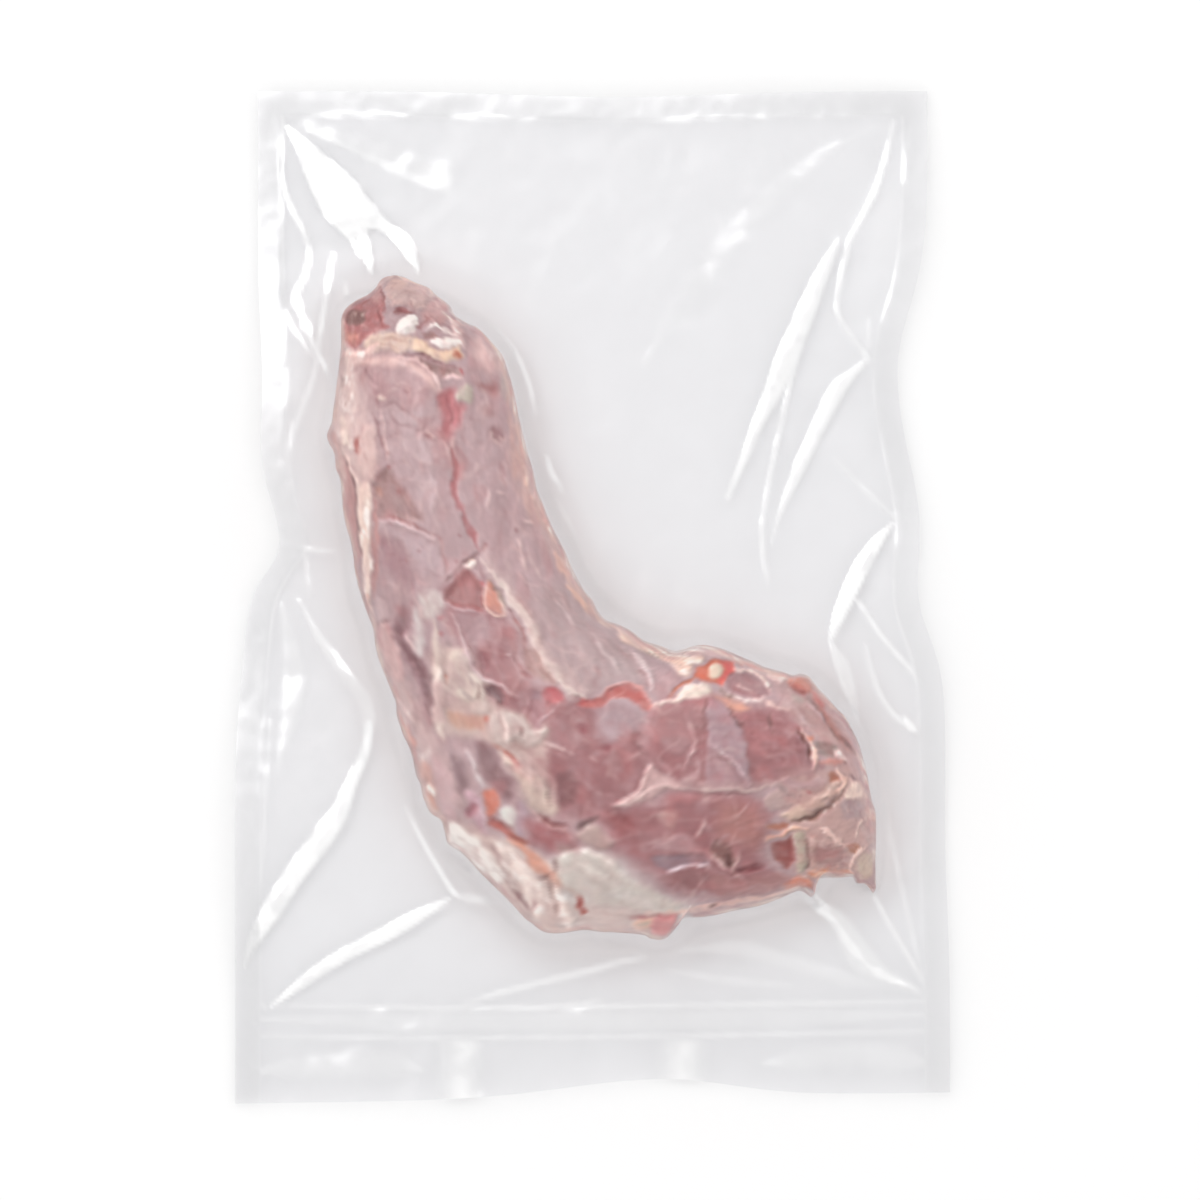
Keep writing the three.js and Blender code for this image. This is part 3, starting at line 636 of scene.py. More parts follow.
stroke(rgb(202, 128, 114), (1, 2), -0.2, (-35, -51.4), (-31, -54), (-27.4, -56.6), strength=0.9)
stroke(rgb(226, 204, 200), 0.9, 0.6, (-16.6, -51.4), (-12, -53), (-8.4, -54.2))

# %% [markdown]
# ## The instep
# Along the inner bend lie a peach-coloured patch, an orange and red triangle with a pale round spot in
# it, and a little lens of tissue with white lips.

# %% The instep
patch(rgb(232, 205, 192), 1.8, 0.7, (8.6, -10.6), (14, -12.4), (19, -15.8), (25, -18.4), (32, -20),
      (38, -20.4), (38.4, -22.4), (35.6, -24.8), (33, -28), (30, -27), (27, -23.2), (21, -20.4),
      (15, -17.4), (10, -15))
patch(WHITE_FAT, 1.2, 0.5, (31, -25.4), (33, -25.2), (32.6, -27), (31.2, -26.8), strength=0.8)
patch(rgb(211, 182, 181), 1.8, 0.8, (31, -18.6), (35, -17.2), (39, -16.8), (45, -18.2), (50.6, -20.7),
      (45, -21.2), (38, -20.6), (33, -20))
stroke(rgb(230, 216, 217), (1.2, 2), 0.5, (13.5, -19), (17, -22), (19.5, -27), (20.6, -32.4))
patch(rgb(212, 124, 102), 1.2, -0.4, (34.8, -27.4), (38, -24.3), (41, -22), (44, -21.6), (49.2, -22.2),
      (49.7, -25), (48, -28.4), (45, -31.2), (42, -29.8), (38.4, -28.8))
patch(rgb(214, 116, 114), 2.4, 0, (44.6, -22), (49.2, -22.4), (49.6, -25), (48, -28), (45, -31),
      (44.4, -28.6), (46, -25))
patch(rgb(220, 198, 182), 1, 0.7, (40.2, -25.6), (41.6, -23.2), (44.4, -23), (46, -25.4), (44.6, -28),
      (41.6, -28))
patch(rgb(234, 220, 210), 1.2, 1.0, (27, -37), (31, -33.4), (33, -30.9), (36.4, -29.8), (40, -30),
      (41.6, -33), (38, -35.2), (33, -35.7))
stroke(rgb(208, 128, 104), (0.8, 1.4), -0.4, (26.8, -35.2), (31, -31.2), (35.2, -28.2))
patch(rgb(216, 166, 150), 1.8, 0.3, (40.6, -33.4), (46, -35.4), (52, -37), (55.6, -39), (49, -40),
      (44, -36))
patch(rgb(177, 138, 141), 1, -0.5, (48, -26), (52, -25.8), (56, -27), (60.4, -30.4), (62, -33), (61, -35),
      (55, -34.8), (50, -33.6), (47, -31.4))
stroke(rgb(238, 216, 205), 1.1, 0.7, (50, -24.6), (55, -25.6), (58, -27), (60.4, -29.6), (62.2, -32.6))
stroke(rgb(242, 228, 222), 1.1, 0.8, (45, -33.2), (50, -35.2), (56, -35.9), (61, -35.5))
stroke(rgb(124, 90, 84), 0.7, -0.5, (44.5, -32.6), (47, -34.3), (50, -35.5), strength=0.9)
stroke(rgb(226, 206, 202), 1.2, 0.5, (50, -30), (54, -32), (58, -33.5), strength=0.8)
stroke(rgb(214, 138, 118), 0.9, -0.3, (50, -22.8), (54, -23.2), (60, -25.2))
patch(rgb(236, 210, 206), 1.4, 0.5, (60.6, -25.4), (66, -26.2), (69.4, -27.4), (66.4, -30), (62.6, -28.8))
patch(rgb(204, 132, 113), 1.2, 0.6, (69, -29), (71, -27.4), (75, -28), (77.5, -31), (76, -33), (73, -33),
      (69.5, -31.5))
patch(rgb(152, 80, 76), 1.2, -0.4, (69.3, -30.4), (72, -31), (75, -33), (73, -33.4), (70, -32.2),
      strength=0.9)
patch(rgb(196, 116, 112), 1.2, 0.5, (77, -32), (79.8, -34.8), (81.2, -38), (79.5, -38.6), (77.4, -35.5))
stroke(rgb(140, 98, 98), (0.8, 1.1), -0.7, (75, -34.5), (77, -37), (80, -41), (82.5, -45), (86, -49),
       (88.5, -51), (92, -55), strength=0.9)
patch(rgb(182, 161, 157), 1, 0.3, (69.6, -34.4), (74, -34.8), (76.2, -36), (72, -37))
patch(rgb(182, 128, 120), 2, -0.4, (77, -34), (80, -37.4), (82.6, -42), (86.4, -47), (91, -51.4),
      (93, -55.4), (89.4, -53), (85, -49.4), (81, -44.4), (78.6, -39.4), strength=0.8)
patch(rgb(196, 168, 165), 3, 0.3, (66, -36.4), (74, -37.4), (80, -44), (86, -50), (80, -50), (73, -44),
      (67, -40), strength=0.8)
stroke(LILAC, 0.7, 0.4, (68, -37.2), (72, -40), (75, -44), (79, -46.4))
stroke(LILAC, 0.7, 0.4, (75, -37), (79, -41), (82, -44.4))
stroke(rgb(230, 205, 197), 1.1, 0.5, (61, -36.2), (64, -38.4), (68.4, -39.7))

# %% [markdown]
# ## The muscles of the foot
# Three bundles lie side by side, each in its own thin skin, which shows as a pale line where two of them
# meet.

# %% The muscles of the foot
patch(rgb(178, 134, 136), 1.6, 0.5, (21, -39.6), (25, -37.6), (30, -36.6), (36, -35.8), (40, -35.8),
      (40, -40), (39.4, -46), (36, -50), (30, -55), (26, -52.4), (20, -48.4), (19, -43))
stroke(rgb(230, 210, 202), 0.9, 0.7, (21, -38.8), (25, -36.8), (30, -35.8), (36, -35.2), (40.4, -35.2))
stroke(rgb(140, 96, 98), 0.8, -0.7, (40, -36), (40.1, -38.6), (39.8, -41.6), strength=0.8)
stroke(rgb(206, 172, 172), 1.0, 0.6, (33, -41), (35, -46), (36, -50), (34.4, -54), (32, -60), strength=0.9)
patch(rgb(181, 145, 150), 1.2, 0.2, (40.4, -50), (46, -54), (53.4, -58), (55.4, -66), (50, -67),
      (40, -66.6))
patch(rgb(178, 149, 155), 1.0, 0.4, (40.4, -36.4), (44.4, -36.6), (48.4, -39.6), (51.4, -44), (53.4, -50),
      (54.4, -58), (54.8, -64), (50.4, -59.6), (45.4, -55), (40.4, -51.8), (40, -43))
stroke(rgb(206, 180, 184), 1.0, 0.6, (42, -52), (46, -55), (50, -58), (53, -62), (55, -66))
stroke(rgb(160, 124, 128), 0.8, -0.3, (41.4, -53), (45.4, -56), (49.4, -59), (52.2, -63), strength=0.8)
stroke(rgb(132, 90, 88), 0.9, -0.7, (48.4, -39.4), (50.5, -43), (52.4, -45.2), strength=0.9)
for x, y in ((52.4, -44), (56, -46.8), (37, -45.5), (63, -47.3), (88.8, -58), (73, -69.3), (68.7, -98.5),
             (49, -97.2)):
    patch(BROWN, 0.6, -0.4, (x - 0.5, y - 0.4), (x - 0.3, y + 0.5), (x + 0.5, y + 0.2), strength=0.8)
patch(rgb(158, 112, 114), 2.6, -0.3, (13, -48), (15, -46.8), (17.4, -48), (16.6, -51), (14, -50.6))
stroke(rgb(140, 92, 94), 0.8, -0.7, (14, -50), (17, -54), (18.6, -55.8), strength=0.8)
stroke(rgb(132, 94, 90), (0.7, 1), -0.6, (61.8, -40.8), (62, -43), (62, -46.2), strength=0.9)
stroke(rgb(134, 80, 72), (0.8, 1.2), -0.9, (71, -45), (73.2, -48), (75.5, -52), (77, -57.4))
stroke(rgb(242, 210, 196), (1.2, 1.7), 1.0, (73, -45.6), (76, -49.4), (77.8, -53), (78.2, -57), (77.2, -60))
patch(rgb(214, 138, 116), 1.3, 0, (75, -48.2), (77, -48.4), (77.2, -50.4), (75.6, -50), strength=0.8)
patch(rgb(166, 146, 142), 1.6, -1.0, (78, -51), (80, -54.6), (84, -55.6), (86, -53), (81, -50))
patch(rgb(230, 208, 205), 1.4, 0.6, (84.4, -53.6), (87.5, -54), (89, -57), (86.6, -57), strength=0.9)
patch(rgb(206, 152, 144), 1.6, 0.2, (79, -57.6), (84, -58.6), (88.4, -57.4), (84, -56), strength=0.9)
stroke(rgb(150, 115, 118), (1.4, 1), -0.5, (88, -50), (90, -52), (92.2, -54.4), strength=0.9)
stroke(rgb(150, 115, 118), 1.2, -0.4, (90, -62.4), (92.4, -63.8), strength=0.9)
stroke(rgb(236, 203, 187), (1.8, 2.4), 1.0, (85.4, -59.8), (87.9, -63.4), (86.4, -67), (83, -69),
       (79, -70.4))
patch(rgb(192, 124, 100), 1.6, -0.6, (82.6, -61), (85.4, -61), (85.8, -64), (83, -64.6), strength=0.8)
stroke(rgb(198, 166, 165), (4.5, 3.4), 0.3, (12, -71), (19, -68.4), (26, -65.4), (34, -65), (44, -65.4),
       (54, -65.6), (64, -64.6), (72, -62.4), strength=0.6)
stroke(rgb(218, 194, 189), 1.3, 0.35, (30, -66.2), (40, -67), (50.5, -66.9), (53, -67.7), (57, -67.2),
       (62, -65.9), (67, -63.8))
stroke(DEEP, 0.9, -0.5, (33, -68.4), (42, -68.8), (50, -68.8), (55, -69.6), strength=0.6)
patch(rgb(192, 163, 164), 1.6, 0.6, (67, -64), (69, -62.8), (73, -64.8), (79, -62.8), (82, -64),
      (81, -66.6), (75, -67.2), (70, -67.7), (67.3, -66))
patch(rgb(176, 156, 155), 1.6, -0.5, (65.6, -66), (69, -68), (71, -69.4), (67, -69.4), strength=0.8)
patch(rgb(184, 92, 98), 1, 0, (75.3, -68.2), (76.6, -67.8), (76.8, -69), strength=0.9)
patch(rgb(232, 211, 201), 2.2, 0.7, (90, -65), (94.4, -65), (95.2, -70), (88, -70.4))

# %% [markdown]
# ## The heel
# The outer corner is fat: a very white slab at the edge, painted whiter still as the glare of the film over
# it, lilac and silvery flaps above it, and behind them dark muscle with an orange seam.

# %% The heel
patch(rgb(226, 206, 200), 4, 0.3, (-51, -78), (-44, -79), (-36, -82), (-28, -84.6), (-18, -90), (-12, -96),
      (-12, -117), (-24, -113), (-38, -98), (-50, -89), strength=0.9)
stroke(rgb(247, 233, 229), 0.8, 0.5, (-62.4, -54.6), (-60, -55.6), (-58, -54.4), strength=0.9)
stroke(rgb(247, 233, 229), 0.7, 0.5, (-63, -56.5), (-59.4, -57.2), (-57.2, -55.4), (-56.8, -52),
       strength=0.8)
patch(rgb(222, 184, 176), 2, 0.5, (-61, -58), (-57.4, -58), (-55, -66), (-54.4, -75), (-57.6, -73),
      (-59.6, -66))
patch(rgb(247, 226, 213), 1.3, 0.5, (-59, -65.8), (-55.4, -66.4), (-55, -69.2), (-57.6, -68.4))
patch(rgb(230, 180, 162), 1.6, 0.2, (-58.6, -70), (-55.6, -70.4), (-54.6, -75.4), (-56.8, -74.6),
      strength=0.9)
patch(rgb(213, 184, 186), 3, 0.6, (-57, -56), (-52, -58), (-47, -68), (-46.6, -78), (-52, -77), (-55, -68))
patch(rgb(168, 138, 142), 3.4, -0.5, (-49.4, -55), (-46, -56.6), (-43.6, -62), (-43, -66), (-46, -69),
      (-48.6, -62))
stroke(rgb(212, 199, 200), 2, 0.7, (-44, -53.6), (-42, -58), (-40.5, -62), (-38, -66))
patch(rgb(160, 126, 129), 3.2, -0.5, (-41, -52), (-37, -50.6), (-33.4, -55), (-31, -60), (-28, -64),
      (-27, -68), (-29, -71), (-34, -68.4), (-38, -62), (-40.4, -57))
patch(rgb(214, 140, 124), 1.6, 0, (-38, -67), (-34, -67.4), (-32.8, -72), (-34, -76), (-36.6, -77),
      (-37.8, -72))
stroke(rgb(198, 108, 92), (2.8, 2.0), -0.3, (-37, -78.4), (-33.4, -80.2), (-29.6, -82.4), (-26, -84.6),
       (-22.6, -86))
stroke(rgb(150, 84, 76), 0.9, -0.6, (-36.8, -77.2), (-33.6, -78), (-30.6, -79.8), (-28, -80.8))
stroke(rgb(160, 104, 96), 0.8, -0.5, (-28.6, -83), (-26.2, -85), (-24, -86.2))
patch(rgb(201, 168, 176), 1.8, 0.5, (-45, -68), (-42, -67.8), (-39, -71), (-37.7, -76), (-36.4, -83),
      (-40, -80), (-43, -75))
patch(rgb(180, 124, 133), 1.6, -0.7, (-43.4, -72), (-40.4, -73), (-41, -75.4), (-44, -76.6), strength=0.9)
stroke(rgb(228, 214, 216), 0.7, 0.4, (-39, -75.2), (-38, -78), (-36.6, -82.6), strength=0.8)
patch(rgb(214, 208, 204), 1.8, 0.8, (-31.4, -73), (-27.4, -73.6), (-26.4, -79), (-29, -80.2), (-32.2, -77))
patch(rgb(191, 167, 176), 2, 0.3, (-26.4, -72), (-23, -74), (-23.4, -82), (-26, -82.6), strength=0.9)
# the very white slab of fat, painted whiter still: a painted glare of the film over it
patch(rgb(252, 246, 242), 2.2, 0.6, (-49.4, -79), (-46, -79.6), (-43, -82), (-39.8, -84.2), (-37.6, -88),
      (-34, -92), (-30.6, -99), (-34.4, -98.4), (-39, -94.6), (-43, -90.6), (-48, -88), (-50.4, -85))
stroke(rgb(214, 180, 176), 0.8, -0.2, (-48.6, -86), (-46.4, -88), (-44, -88.6), strength=0.7)
stroke(rgb(222, 198, 188), (2.2, 3), 0.8, (-33.6, -54.8), (-28, -58), (-24, -62), (-20.6, -66.4))
stroke(rgb(190, 110, 106), (1, 1.4), -0.6, (-31, -53.8), (-27, -57.6), (-24, -60.6), (-22.4, -62.6),
       strength=0.9)
stroke(rgb(227, 165, 142), (3, 4.2), 0.2, (-29.4, -84.6), (-25, -87.4), (-22, -90.4), (-18.6, -94),
       (-13, -97.4), (-9, -100.4), (-5.4, -105), strength=0.95)
patch(rgb(238, 223, 217), 2.2, 0.6, (-33, -85.4), (-28, -88), (-23, -93), (-18, -99), (-16, -106),
      (-19, -113), (-22, -109), (-25, -103), (-29, -97), (-33, -90))
patch(rgb(248, 236, 230), 3, 0.4, (-27.4, -91), (-24, -94), (-20, -102), (-20.4, -105), (-24, -101),
      (-27.4, -95), strength=0.8)
stroke(rgb(202, 176, 174), (1.4, 1), -0.3, (-36, -86), (-34, -88.6), (-31.4, -91.4), strength=0.8)
stroke(rgb(216, 178, 174), (1.6, 1.4), 0, (-39, -96.4), (-34, -101.4), (-28, -107), (-22, -113),
       strength=0.8)
stroke(DEEP, 0.8, -0.6, (-20.2, -105.4), (-20.6, -109.4), strength=0.8)
stroke(DEEP, 0.8, -0.6, (-28.2, -102.6), (-25, -106), (-21.4, -110.4), strength=0.7)

# %% [markdown]
# ## The sole's muscles and hollows
# Behind the ligament a big bundle bulges, with a dark hollow on its left and a deep red wedge under it.

# %% The sole's muscles and hollows
patch(rgb(211, 191, 181), 2.4, 0.7, (-27, -60), (-22, -60), (-17, -64), (-12.8, -72), (-13, -76),
      (-18, -75), (-23, -70))
stroke(rgb(150, 112, 108), (0.8, 1.1), -0.8, (-16, -63.8), (-15, -69.6), (-14.6, -74), strength=0.9)
stroke(rgb(220, 196, 188), 1.2, 0.6, (-13, -63.6), (-12.6, -68), (-12, -72), strength=0.9)
patch(rgb(150, 104, 106), 3.6, -0.8, (-11.6, -62), (-8, -60.8), (-6, -62.6), (-5, -66), (-6, -72),
      (-11, -72.8), (-12, -67))
for way in (((22, -55), (25, -59), (28.6, -63), (31.6, -66.4)), ((19.4, -57), (21, -61), (23.4, -65)),
            ((36.4, -56), (37, -60), (36, -65))):
    stroke(rgb(200, 168, 170), 2.2, 0.3, *way, strength=0.7)
stroke(rgb(214, 186, 184), 0.7, 0.3, (-8.6, -54.2), (-6.6, -54.8), strength=0.9)
stroke(rgb(222, 196, 193), 0.8, 0.4, (-1, -55), (1.2, -57.2), strength=0.9)
stroke(rgb(210, 182, 180), 0.9, 0.4, (12, -57), (15, -56.2), (18.2, -54.4), strength=0.9)
stroke(rgb(206, 171, 166), (1.1, 1.6), 0.8, (7, -73.2), (9.5, -72), (12, -71), (15, -69), (17.4, -66.8),
       (18.6, -62), (20.4, -59.6))
patch(rgb(184, 94, 98), 1, 0, (7.8, -71), (8.8, -70.4), (9.3, -71.4), (8.3, -71.9), strength=0.9)
patch(rgb(183, 152, 156), 2, 0.2, (19.4, -60.4), (23, -61), (26, -65.4), (22, -66), strength=0.9)
stroke(rgb(206, 178, 176), 1.3, 0.4, (22.6, -65), (26, -65.4), (30.4, -66.2), strength=0.9)
patch(rgb(200, 166, 165), 1.4, 0.6, (7.4, -72.2), (12, -70.6), (16.4, -67.4), (18.4, -62), (20, -59.4),
      (23, -61.6), (27, -63), (31.6, -66.4), (25, -68.6), (19, -71), (15.6, -73), (10, -73.2))
stroke(rgb(222, 196, 192), (1, 1.3), 0.6, (7, -72.6), (12, -72), (17, -70), (20, -67), (25, -66.4),
       (32, -66.8))
patch(rgb(154, 92, 94), 3.2, -0.6, (7.6, -73.6), (12, -75), (14, -78), (11, -82.6), (8.6, -80), (9, -76.6))
patch(rgb(191, 166, 161), 1.6, 0.7, (-5, -81.4), (0, -79.3), (3, -79.8), (4.4, -83), (8.2, -85.6),
      (4, -88.2), (-1, -87.2), (-6.2, -84))
# painted shadow: a dark band along the upper edge of the grey patch, sunk a little
patch(rgb(140, 106, 106), 1.4, -0.8, (-6.4, -79.8), (-2, -77.8), (2.2, -76.8), (0, -79), (-5, -82))
patch(rgb(178, 116, 119), 5, -0.4, (-24, -78), (-17, -77.4), (-12, -79.4), (-8.4, -81), (-5.8, -86),
      (-5.3, -89), (-7.5, -90.2), (-13, -90), (-18, -88.6), (-22, -85.6), strength=0.9)
# painted highlight: a grey gloss on the round right end of the dark red muscle
patch(rgb(176, 148, 146), 3, 0.3, (-12.6, -86.2), (-8.6, -86), (-6.4, -88), (-8.8, -89.6), (-12.2, -89.4),
      strength=0.8)
stroke(rgb(206, 168, 166), (1.2, 1.4), 0.5, (-22, -73.6), (-18.6, -77), (-13.6, -80.2), (-9, -82.6),
       (-6.6, -85.4), strength=0.7)
stroke(rgb(140, 84, 84), (1.2, 1.4), -0.5, (-18.2, -75.8), (-14.4, -78.8), (-9.6, -79.9))
patch(rgb(214, 204, 198), 2.2, 0.6, (-11.4, -90), (-5, -89.8), (-2, -88), (1, -89), (5, -91), (8, -93),
      (10, -96), (14, -99), (20, -102), (27, -105), (31, -108), (26, -111), (10, -109), (-4, -106),
      (-12, -99))
patch(rgb(222, 201, 196), 3, 0.3, (-14, -106), (0, -107), (14, -109), (26, -111), (18, -116.6), (0, -116),
      (-14, -116.6), (-19, -113), strength=0.8)
for way in (((-13, -92), (-12.6, -94), (-12.7, -96.4)), ((-19, -98.6), (-16.6, -98.2), (-14.4, -97.1)),
            ((-14.7, -98), (-14.6, -101), (-14.2, -103.4), (-12, -111))):
    stroke(rgb(142, 102, 96), 1.0, -0.6, *way, strength=0.85)
for colour, width, way in (
        (rgb(236, 224, 219), 2.2, ((-10.6, -90.8), (-6, -89.2), (-1.6, -88.6), (2, -90.6), (5.4, -92.6),
                                   (8, -95))),
        (rgb(230, 222, 216), 2.6, ((-5, -93), (1, -97), (7, -100.4), (13, -103.6))),
        (rgb(194, 183, 178), 2.0, ((-2, -91.8), (4, -95.8), (10, -99.2), (18, -103.4))),
        (rgb(226, 218, 214), 2.4, ((7, -103), (14, -106), (23, -109))),
        (rgb(196, 176, 171), 1.6, ((3, -110), (11, -111.4), (19, -111)))):
    stroke(colour, width, 0.3, *way, strength=0.6)
stroke(rgb(240, 226, 219), (1.8, 4.6), 0.9, (-14, -99.6), (-12.4, -103), (-10.4, -107), (-8.6, -112),
       (-7.6, -116))
patch(rgb(176, 78, 70), 1, -1.1, (-4.7, -104.6), (-3.2, -107), (-2.8, -110.6), (-4.6, -109.4), (-5.2, -107))

# %% [markdown]
# ## The toe
# At the right the bundles are cut across. Dark red hollows open between cream ridges, the rim is orange,
# and a pink tag of flesh hangs from the lower edge.

# %% The toe
patch(rgb(182, 130, 126), 6, 0.3, (44, -73), (52, -72), (60, -76), (60, -86), (52, -88), (44, -84))
patch(rgb(184, 140, 137), 2, 0.2, (22, -76), (28, -74.6), (29.6, -77), (28.6, -81.4), (25, -80))
stroke(rgb(212, 180, 178), 0.9, 0.5, (36, -84.3), (38, -81), (39.6, -77.4), strength=0.9)
stroke(rgb(208, 176, 174), 0.8, 0.4, (51, -76.6), (54, -72.6), strength=0.9)
patch(rgb(177, 137, 140), 1.6, 0.5, (21.6, -87), (29, -83), (33, -82.8), (36.4, -86), (39.4, -89.6),
      (30, -89.4))
patch(rgb(161, 131, 139), 1.4, -0.6, (20.6, -91), (30, -90), (39.4, -90), (40.4, -93.4), (35, -94.3),
      (26, -96.2))
stroke(rgb(228, 210, 215), 1.1, 0.8, (26, -96.6), (30, -95.2), (35, -94.5), (40.7, -93.8))
patch(rgb(158, 84, 90), 1.2, -0.3, (32, -98.4), (34, -98.4), (34.2, -99.8), (32.2, -99.8), strength=0.8)
patch(rgb(166, 118, 120), 2, -0.3, (25, -97.4), (36, -96), (46, -98), (45, -103), (34, -102.4),
      (26, -100.6))
patch(rgb(152, 108, 104), 2, -0.8, (41, -88), (44, -85.4), (47.2, -86.4), (49.3, -90), (49.7, -94.6),
      (46, -93.2), (42, -90.4))
patch(rgb(116, 70, 68), 1.4, -0.6, (46.8, -90), (48.8, -90.6), (49.2, -94), (47.4, -93), strength=0.8)
stroke(rgb(222, 192, 188), 0.9, 0.7, (40, -88.4), (44, -92), (49, -95.5), (53.2, -99.2))
stroke(rgb(214, 184, 180), 0.8, 0.5, (51, -89.4), (50.4, -92.4), (49.5, -95.6))
patch(rgb(142, 78, 82), 1.6, -1.0, (50.4, -94.8), (56, -93), (60.6, -93.8), (57, -95.8), (51, -97))
patch(rgb(164, 96, 92), 1.6, -0.8, (62, -87), (67, -85), (70, -83.4), (70.6, -88), (70.4, -92), (68, -95.2),
      (64, -92.4))
stroke(rgb(231, 194, 174), (1.2, 1.6), 1.0, (60.6, -85.4), (65, -83.4), (69, -81.4), (71, -80.4),
       (75.4, -81.6))
patch(rgb(197, 176, 166), 1.4, 0.9, (70.7, -82.4), (75, -83), (76.2, -90), (74.2, -96.4), (71.6, -96.4),
      (71.4, -89))
patch(rgb(216, 144, 123), 1.6, 0.2, (69.6, -98), (76, -98), (77, -101.6), (71, -101.8), (67, -101))
patch(rgb(180, 131, 129), 2.2, 0, (42, -97), (52, -98.4), (60, -97), (69, -97), (68, -101), (56, -104),
      (44, -104.4), strength=0.8)
stroke(rgb(232, 196, 185), (1.6, 2.2), 0.5, (19, -110.6), (32, -110.4), (36, -109.4), (45, -107.2),
       (60, -104.8), (72, -101.6), strength=0.9)
stroke(BROWN, 0.8, -0.6, (41, -108.4), (42.6, -107.8), (44.2, -107.2), strength=0.7)
patch(rgb(206, 154, 134), 1.6, 0.2, (97, -74), (99.2, -76), (99.4, -83), (97.4, -84.4), (96.3, -78))
patch(RED, 1.4, 0, (97, -73), (98.8, -74), (98.6, -76), (97, -75.6), strength=0.8)
stroke(rgb(238, 214, 203), (1, 1.6), 0.7, (95.6, -77), (93, -80), (92, -84))
patch(rgb(206, 179, 166), 1.8, 0.8, (66, -76), (70, -74.6), (75, -71.6), (78, -70.2), (82, -72), (79, -75),
      (74, -77), (70, -78.6))
patch(rgb(191, 166, 163), 1.2, 0.4, (59.4, -70.5), (64, -67.5), (66.4, -68), (67, -70.5), (70, -71.7),
      (67, -73.6), (62, -73.6))
stroke(rgb(146, 104, 92), (1, 1.8), -0.8, (71.6, -78), (76, -77), (79, -76), (84, -72), strength=0.9)
patch(rgb(192, 122, 98), 1.8, -0.3, (62, -79), (68, -79), (68, -81), (62, -81), strength=0.8)
stroke(rgb(224, 193, 185), (2, 2.6), 0.8, (79.6, -80), (84, -82.8), (88.2, -86.4))
patch(rgb(186, 161, 163), 2.4, 0, (87.6, -71), (94.4, -71), (94, -77), (88, -77.4))
patch(rgb(182, 166, 152), 1.4, 0.3, (71.2, -82.4), (74.4, -83), (75, -89), (74.4, -95.6), (72, -96),
      (71.4, -89))
stroke(rgb(158, 112, 104), 0.9, -0.5, (75, -85), (75.4, -90), (75.2, -95.4), strength=0.7)
patch(rgb(196, 160, 150), 1.6, 0.2, (76, -84), (79, -85), (78.8, -91), (77.4, -95), (76, -94), strength=0.8)
patch(rgb(216, 184, 178), 1.6, 0.4, (75.4, -84), (78.4, -84.4), (78, -87), (75.6, -87), strength=0.8)
stroke(rgb(208, 180, 166), (5, 3.4), 0.5, (66, -76.4), (72, -74), (78, -71), (83, -67.4), (87, -63.4),
       strength=0.75)
stroke(rgb(220, 204, 192), (2, 2.6), 0.3, (77.6, -70.6), (81, -68.6), (84.6, -66), strength=0.8)
stroke(rgb(156, 118, 108), (2.8, 1.6), -0.6, (70, -78.4), (76, -77), (81, -74.6), (85, -71), (87.8, -67.6),
       strength=0.75)
stroke(rgb(222, 190, 182), (1.6, 2.4), 0.5, (79.6, -80.4), (83.4, -83), (87, -86), (91, -87), strength=0.8)
stroke(rgb(204, 148, 130), (2, 2.6), 0.2, (61, -84.6), (65, -83), (69.4, -81.4), strength=0.7)
patch(rgb(191, 132, 108), 1.4, -0.4, (88.8, -86.8), (94, -86.2), (93, -89), (91, -89.8), strength=0.9)
stroke(rgb(238, 208, 197), (1.1, 1.7), 0.9, (91, -98), (90.6, -93.4), (92, -90.4), (94, -88.5), (97.6, -86))
patch(rgb(210, 190, 176), 2, 0.3, (93, -91), (98.4, -90), (98.4, -97), (93.4, -98))
patch(rgb(216, 152, 126), 2, 0.3, (75.6, -96.4), (80, -94.6), (86, -94.8), (90.4, -96.4), (86, -97.8),
      (78, -98))
stroke(rgb(240, 212, 190), 1, 0.4, (76.6, -97.6), (80, -96.6), (85, -97.6), (90, -97), strength=0.8)
patch(rgb(178, 141, 137), 2.4, -0.6, (77.6, -88), (84, -86.6), (88.4, -88.6), (88, -93.6), (80, -94),
      (77, -91))
patch(rgb(228, 192, 176), 1.6, 0.5, (15, -113), (22, -111.4), (21, -115.4), (15, -116.7))
stroke(OLIVE, 0.7, -0.3, (15.4, -114.6), (20.6, -113.4), strength=0.8)

# wide, faint strokes even out the tone of whole areas
stroke(MAUVE, 11, 0, (-58, -46), (-56, -38), (-54, -30), strength=0.5)
stroke(MAUVE, 10, 0, (-49, -31), (-45, -25), (-42, -18), strength=0.45)
stroke(MUSCLE, 12, 0, (-28, -60), (-12, -60), (6, -60), strength=0.4)
stroke(MUSCLE, 10, 0, (60, -60), (70, -60), (80, -59), strength=0.5)
stroke(rgb(186, 146, 142), 9, 0, (72, -71), (78, -70), (85, -68), strength=0.5)
stroke(rgb(242, 220, 213), 8, 0, (-86, 86), (-87, 74), (-88.4, 62), (-89, 52), (-86, 42), strength=0.6)
stroke(rgb(230, 204, 201), 7, 0, (-73, -10), (-69, -28), (-65, -44), strength=0.6)
stroke(rgb(180, 124, 124), 10, 0, (-30, -10), (-25, -20), (-28, -34), strength=0.45)
stroke(rgb(176, 124, 126), 12, 0, (10, -50), (20, -55), (32, -56), strength=0.4)
stroke(rgb(184, 134, 134), 8, 0, (-63, 64), (-56, 57), (-49, 49), (-46, 42), strength=0.5)
stroke(rgb(176, 142, 144), 8, 0, (-67, 8), (-66, -2), (-64, -10), strength=0.4)
patch(rgb(221, 160, 160), 1.2, 0.6, (21.8, -112), (29, -111.4), (28.4, -115), (25, -118.8), (20, -118.8))
stroke(rgb(196, 120, 120), 0.7, -0.4, (14, -112), (22, -111.4), (30, -111.6), strength=0.9)
print("lift now", round(neck.lift.min(), 2), "to", round(neck.lift.max(), 2), "mm")

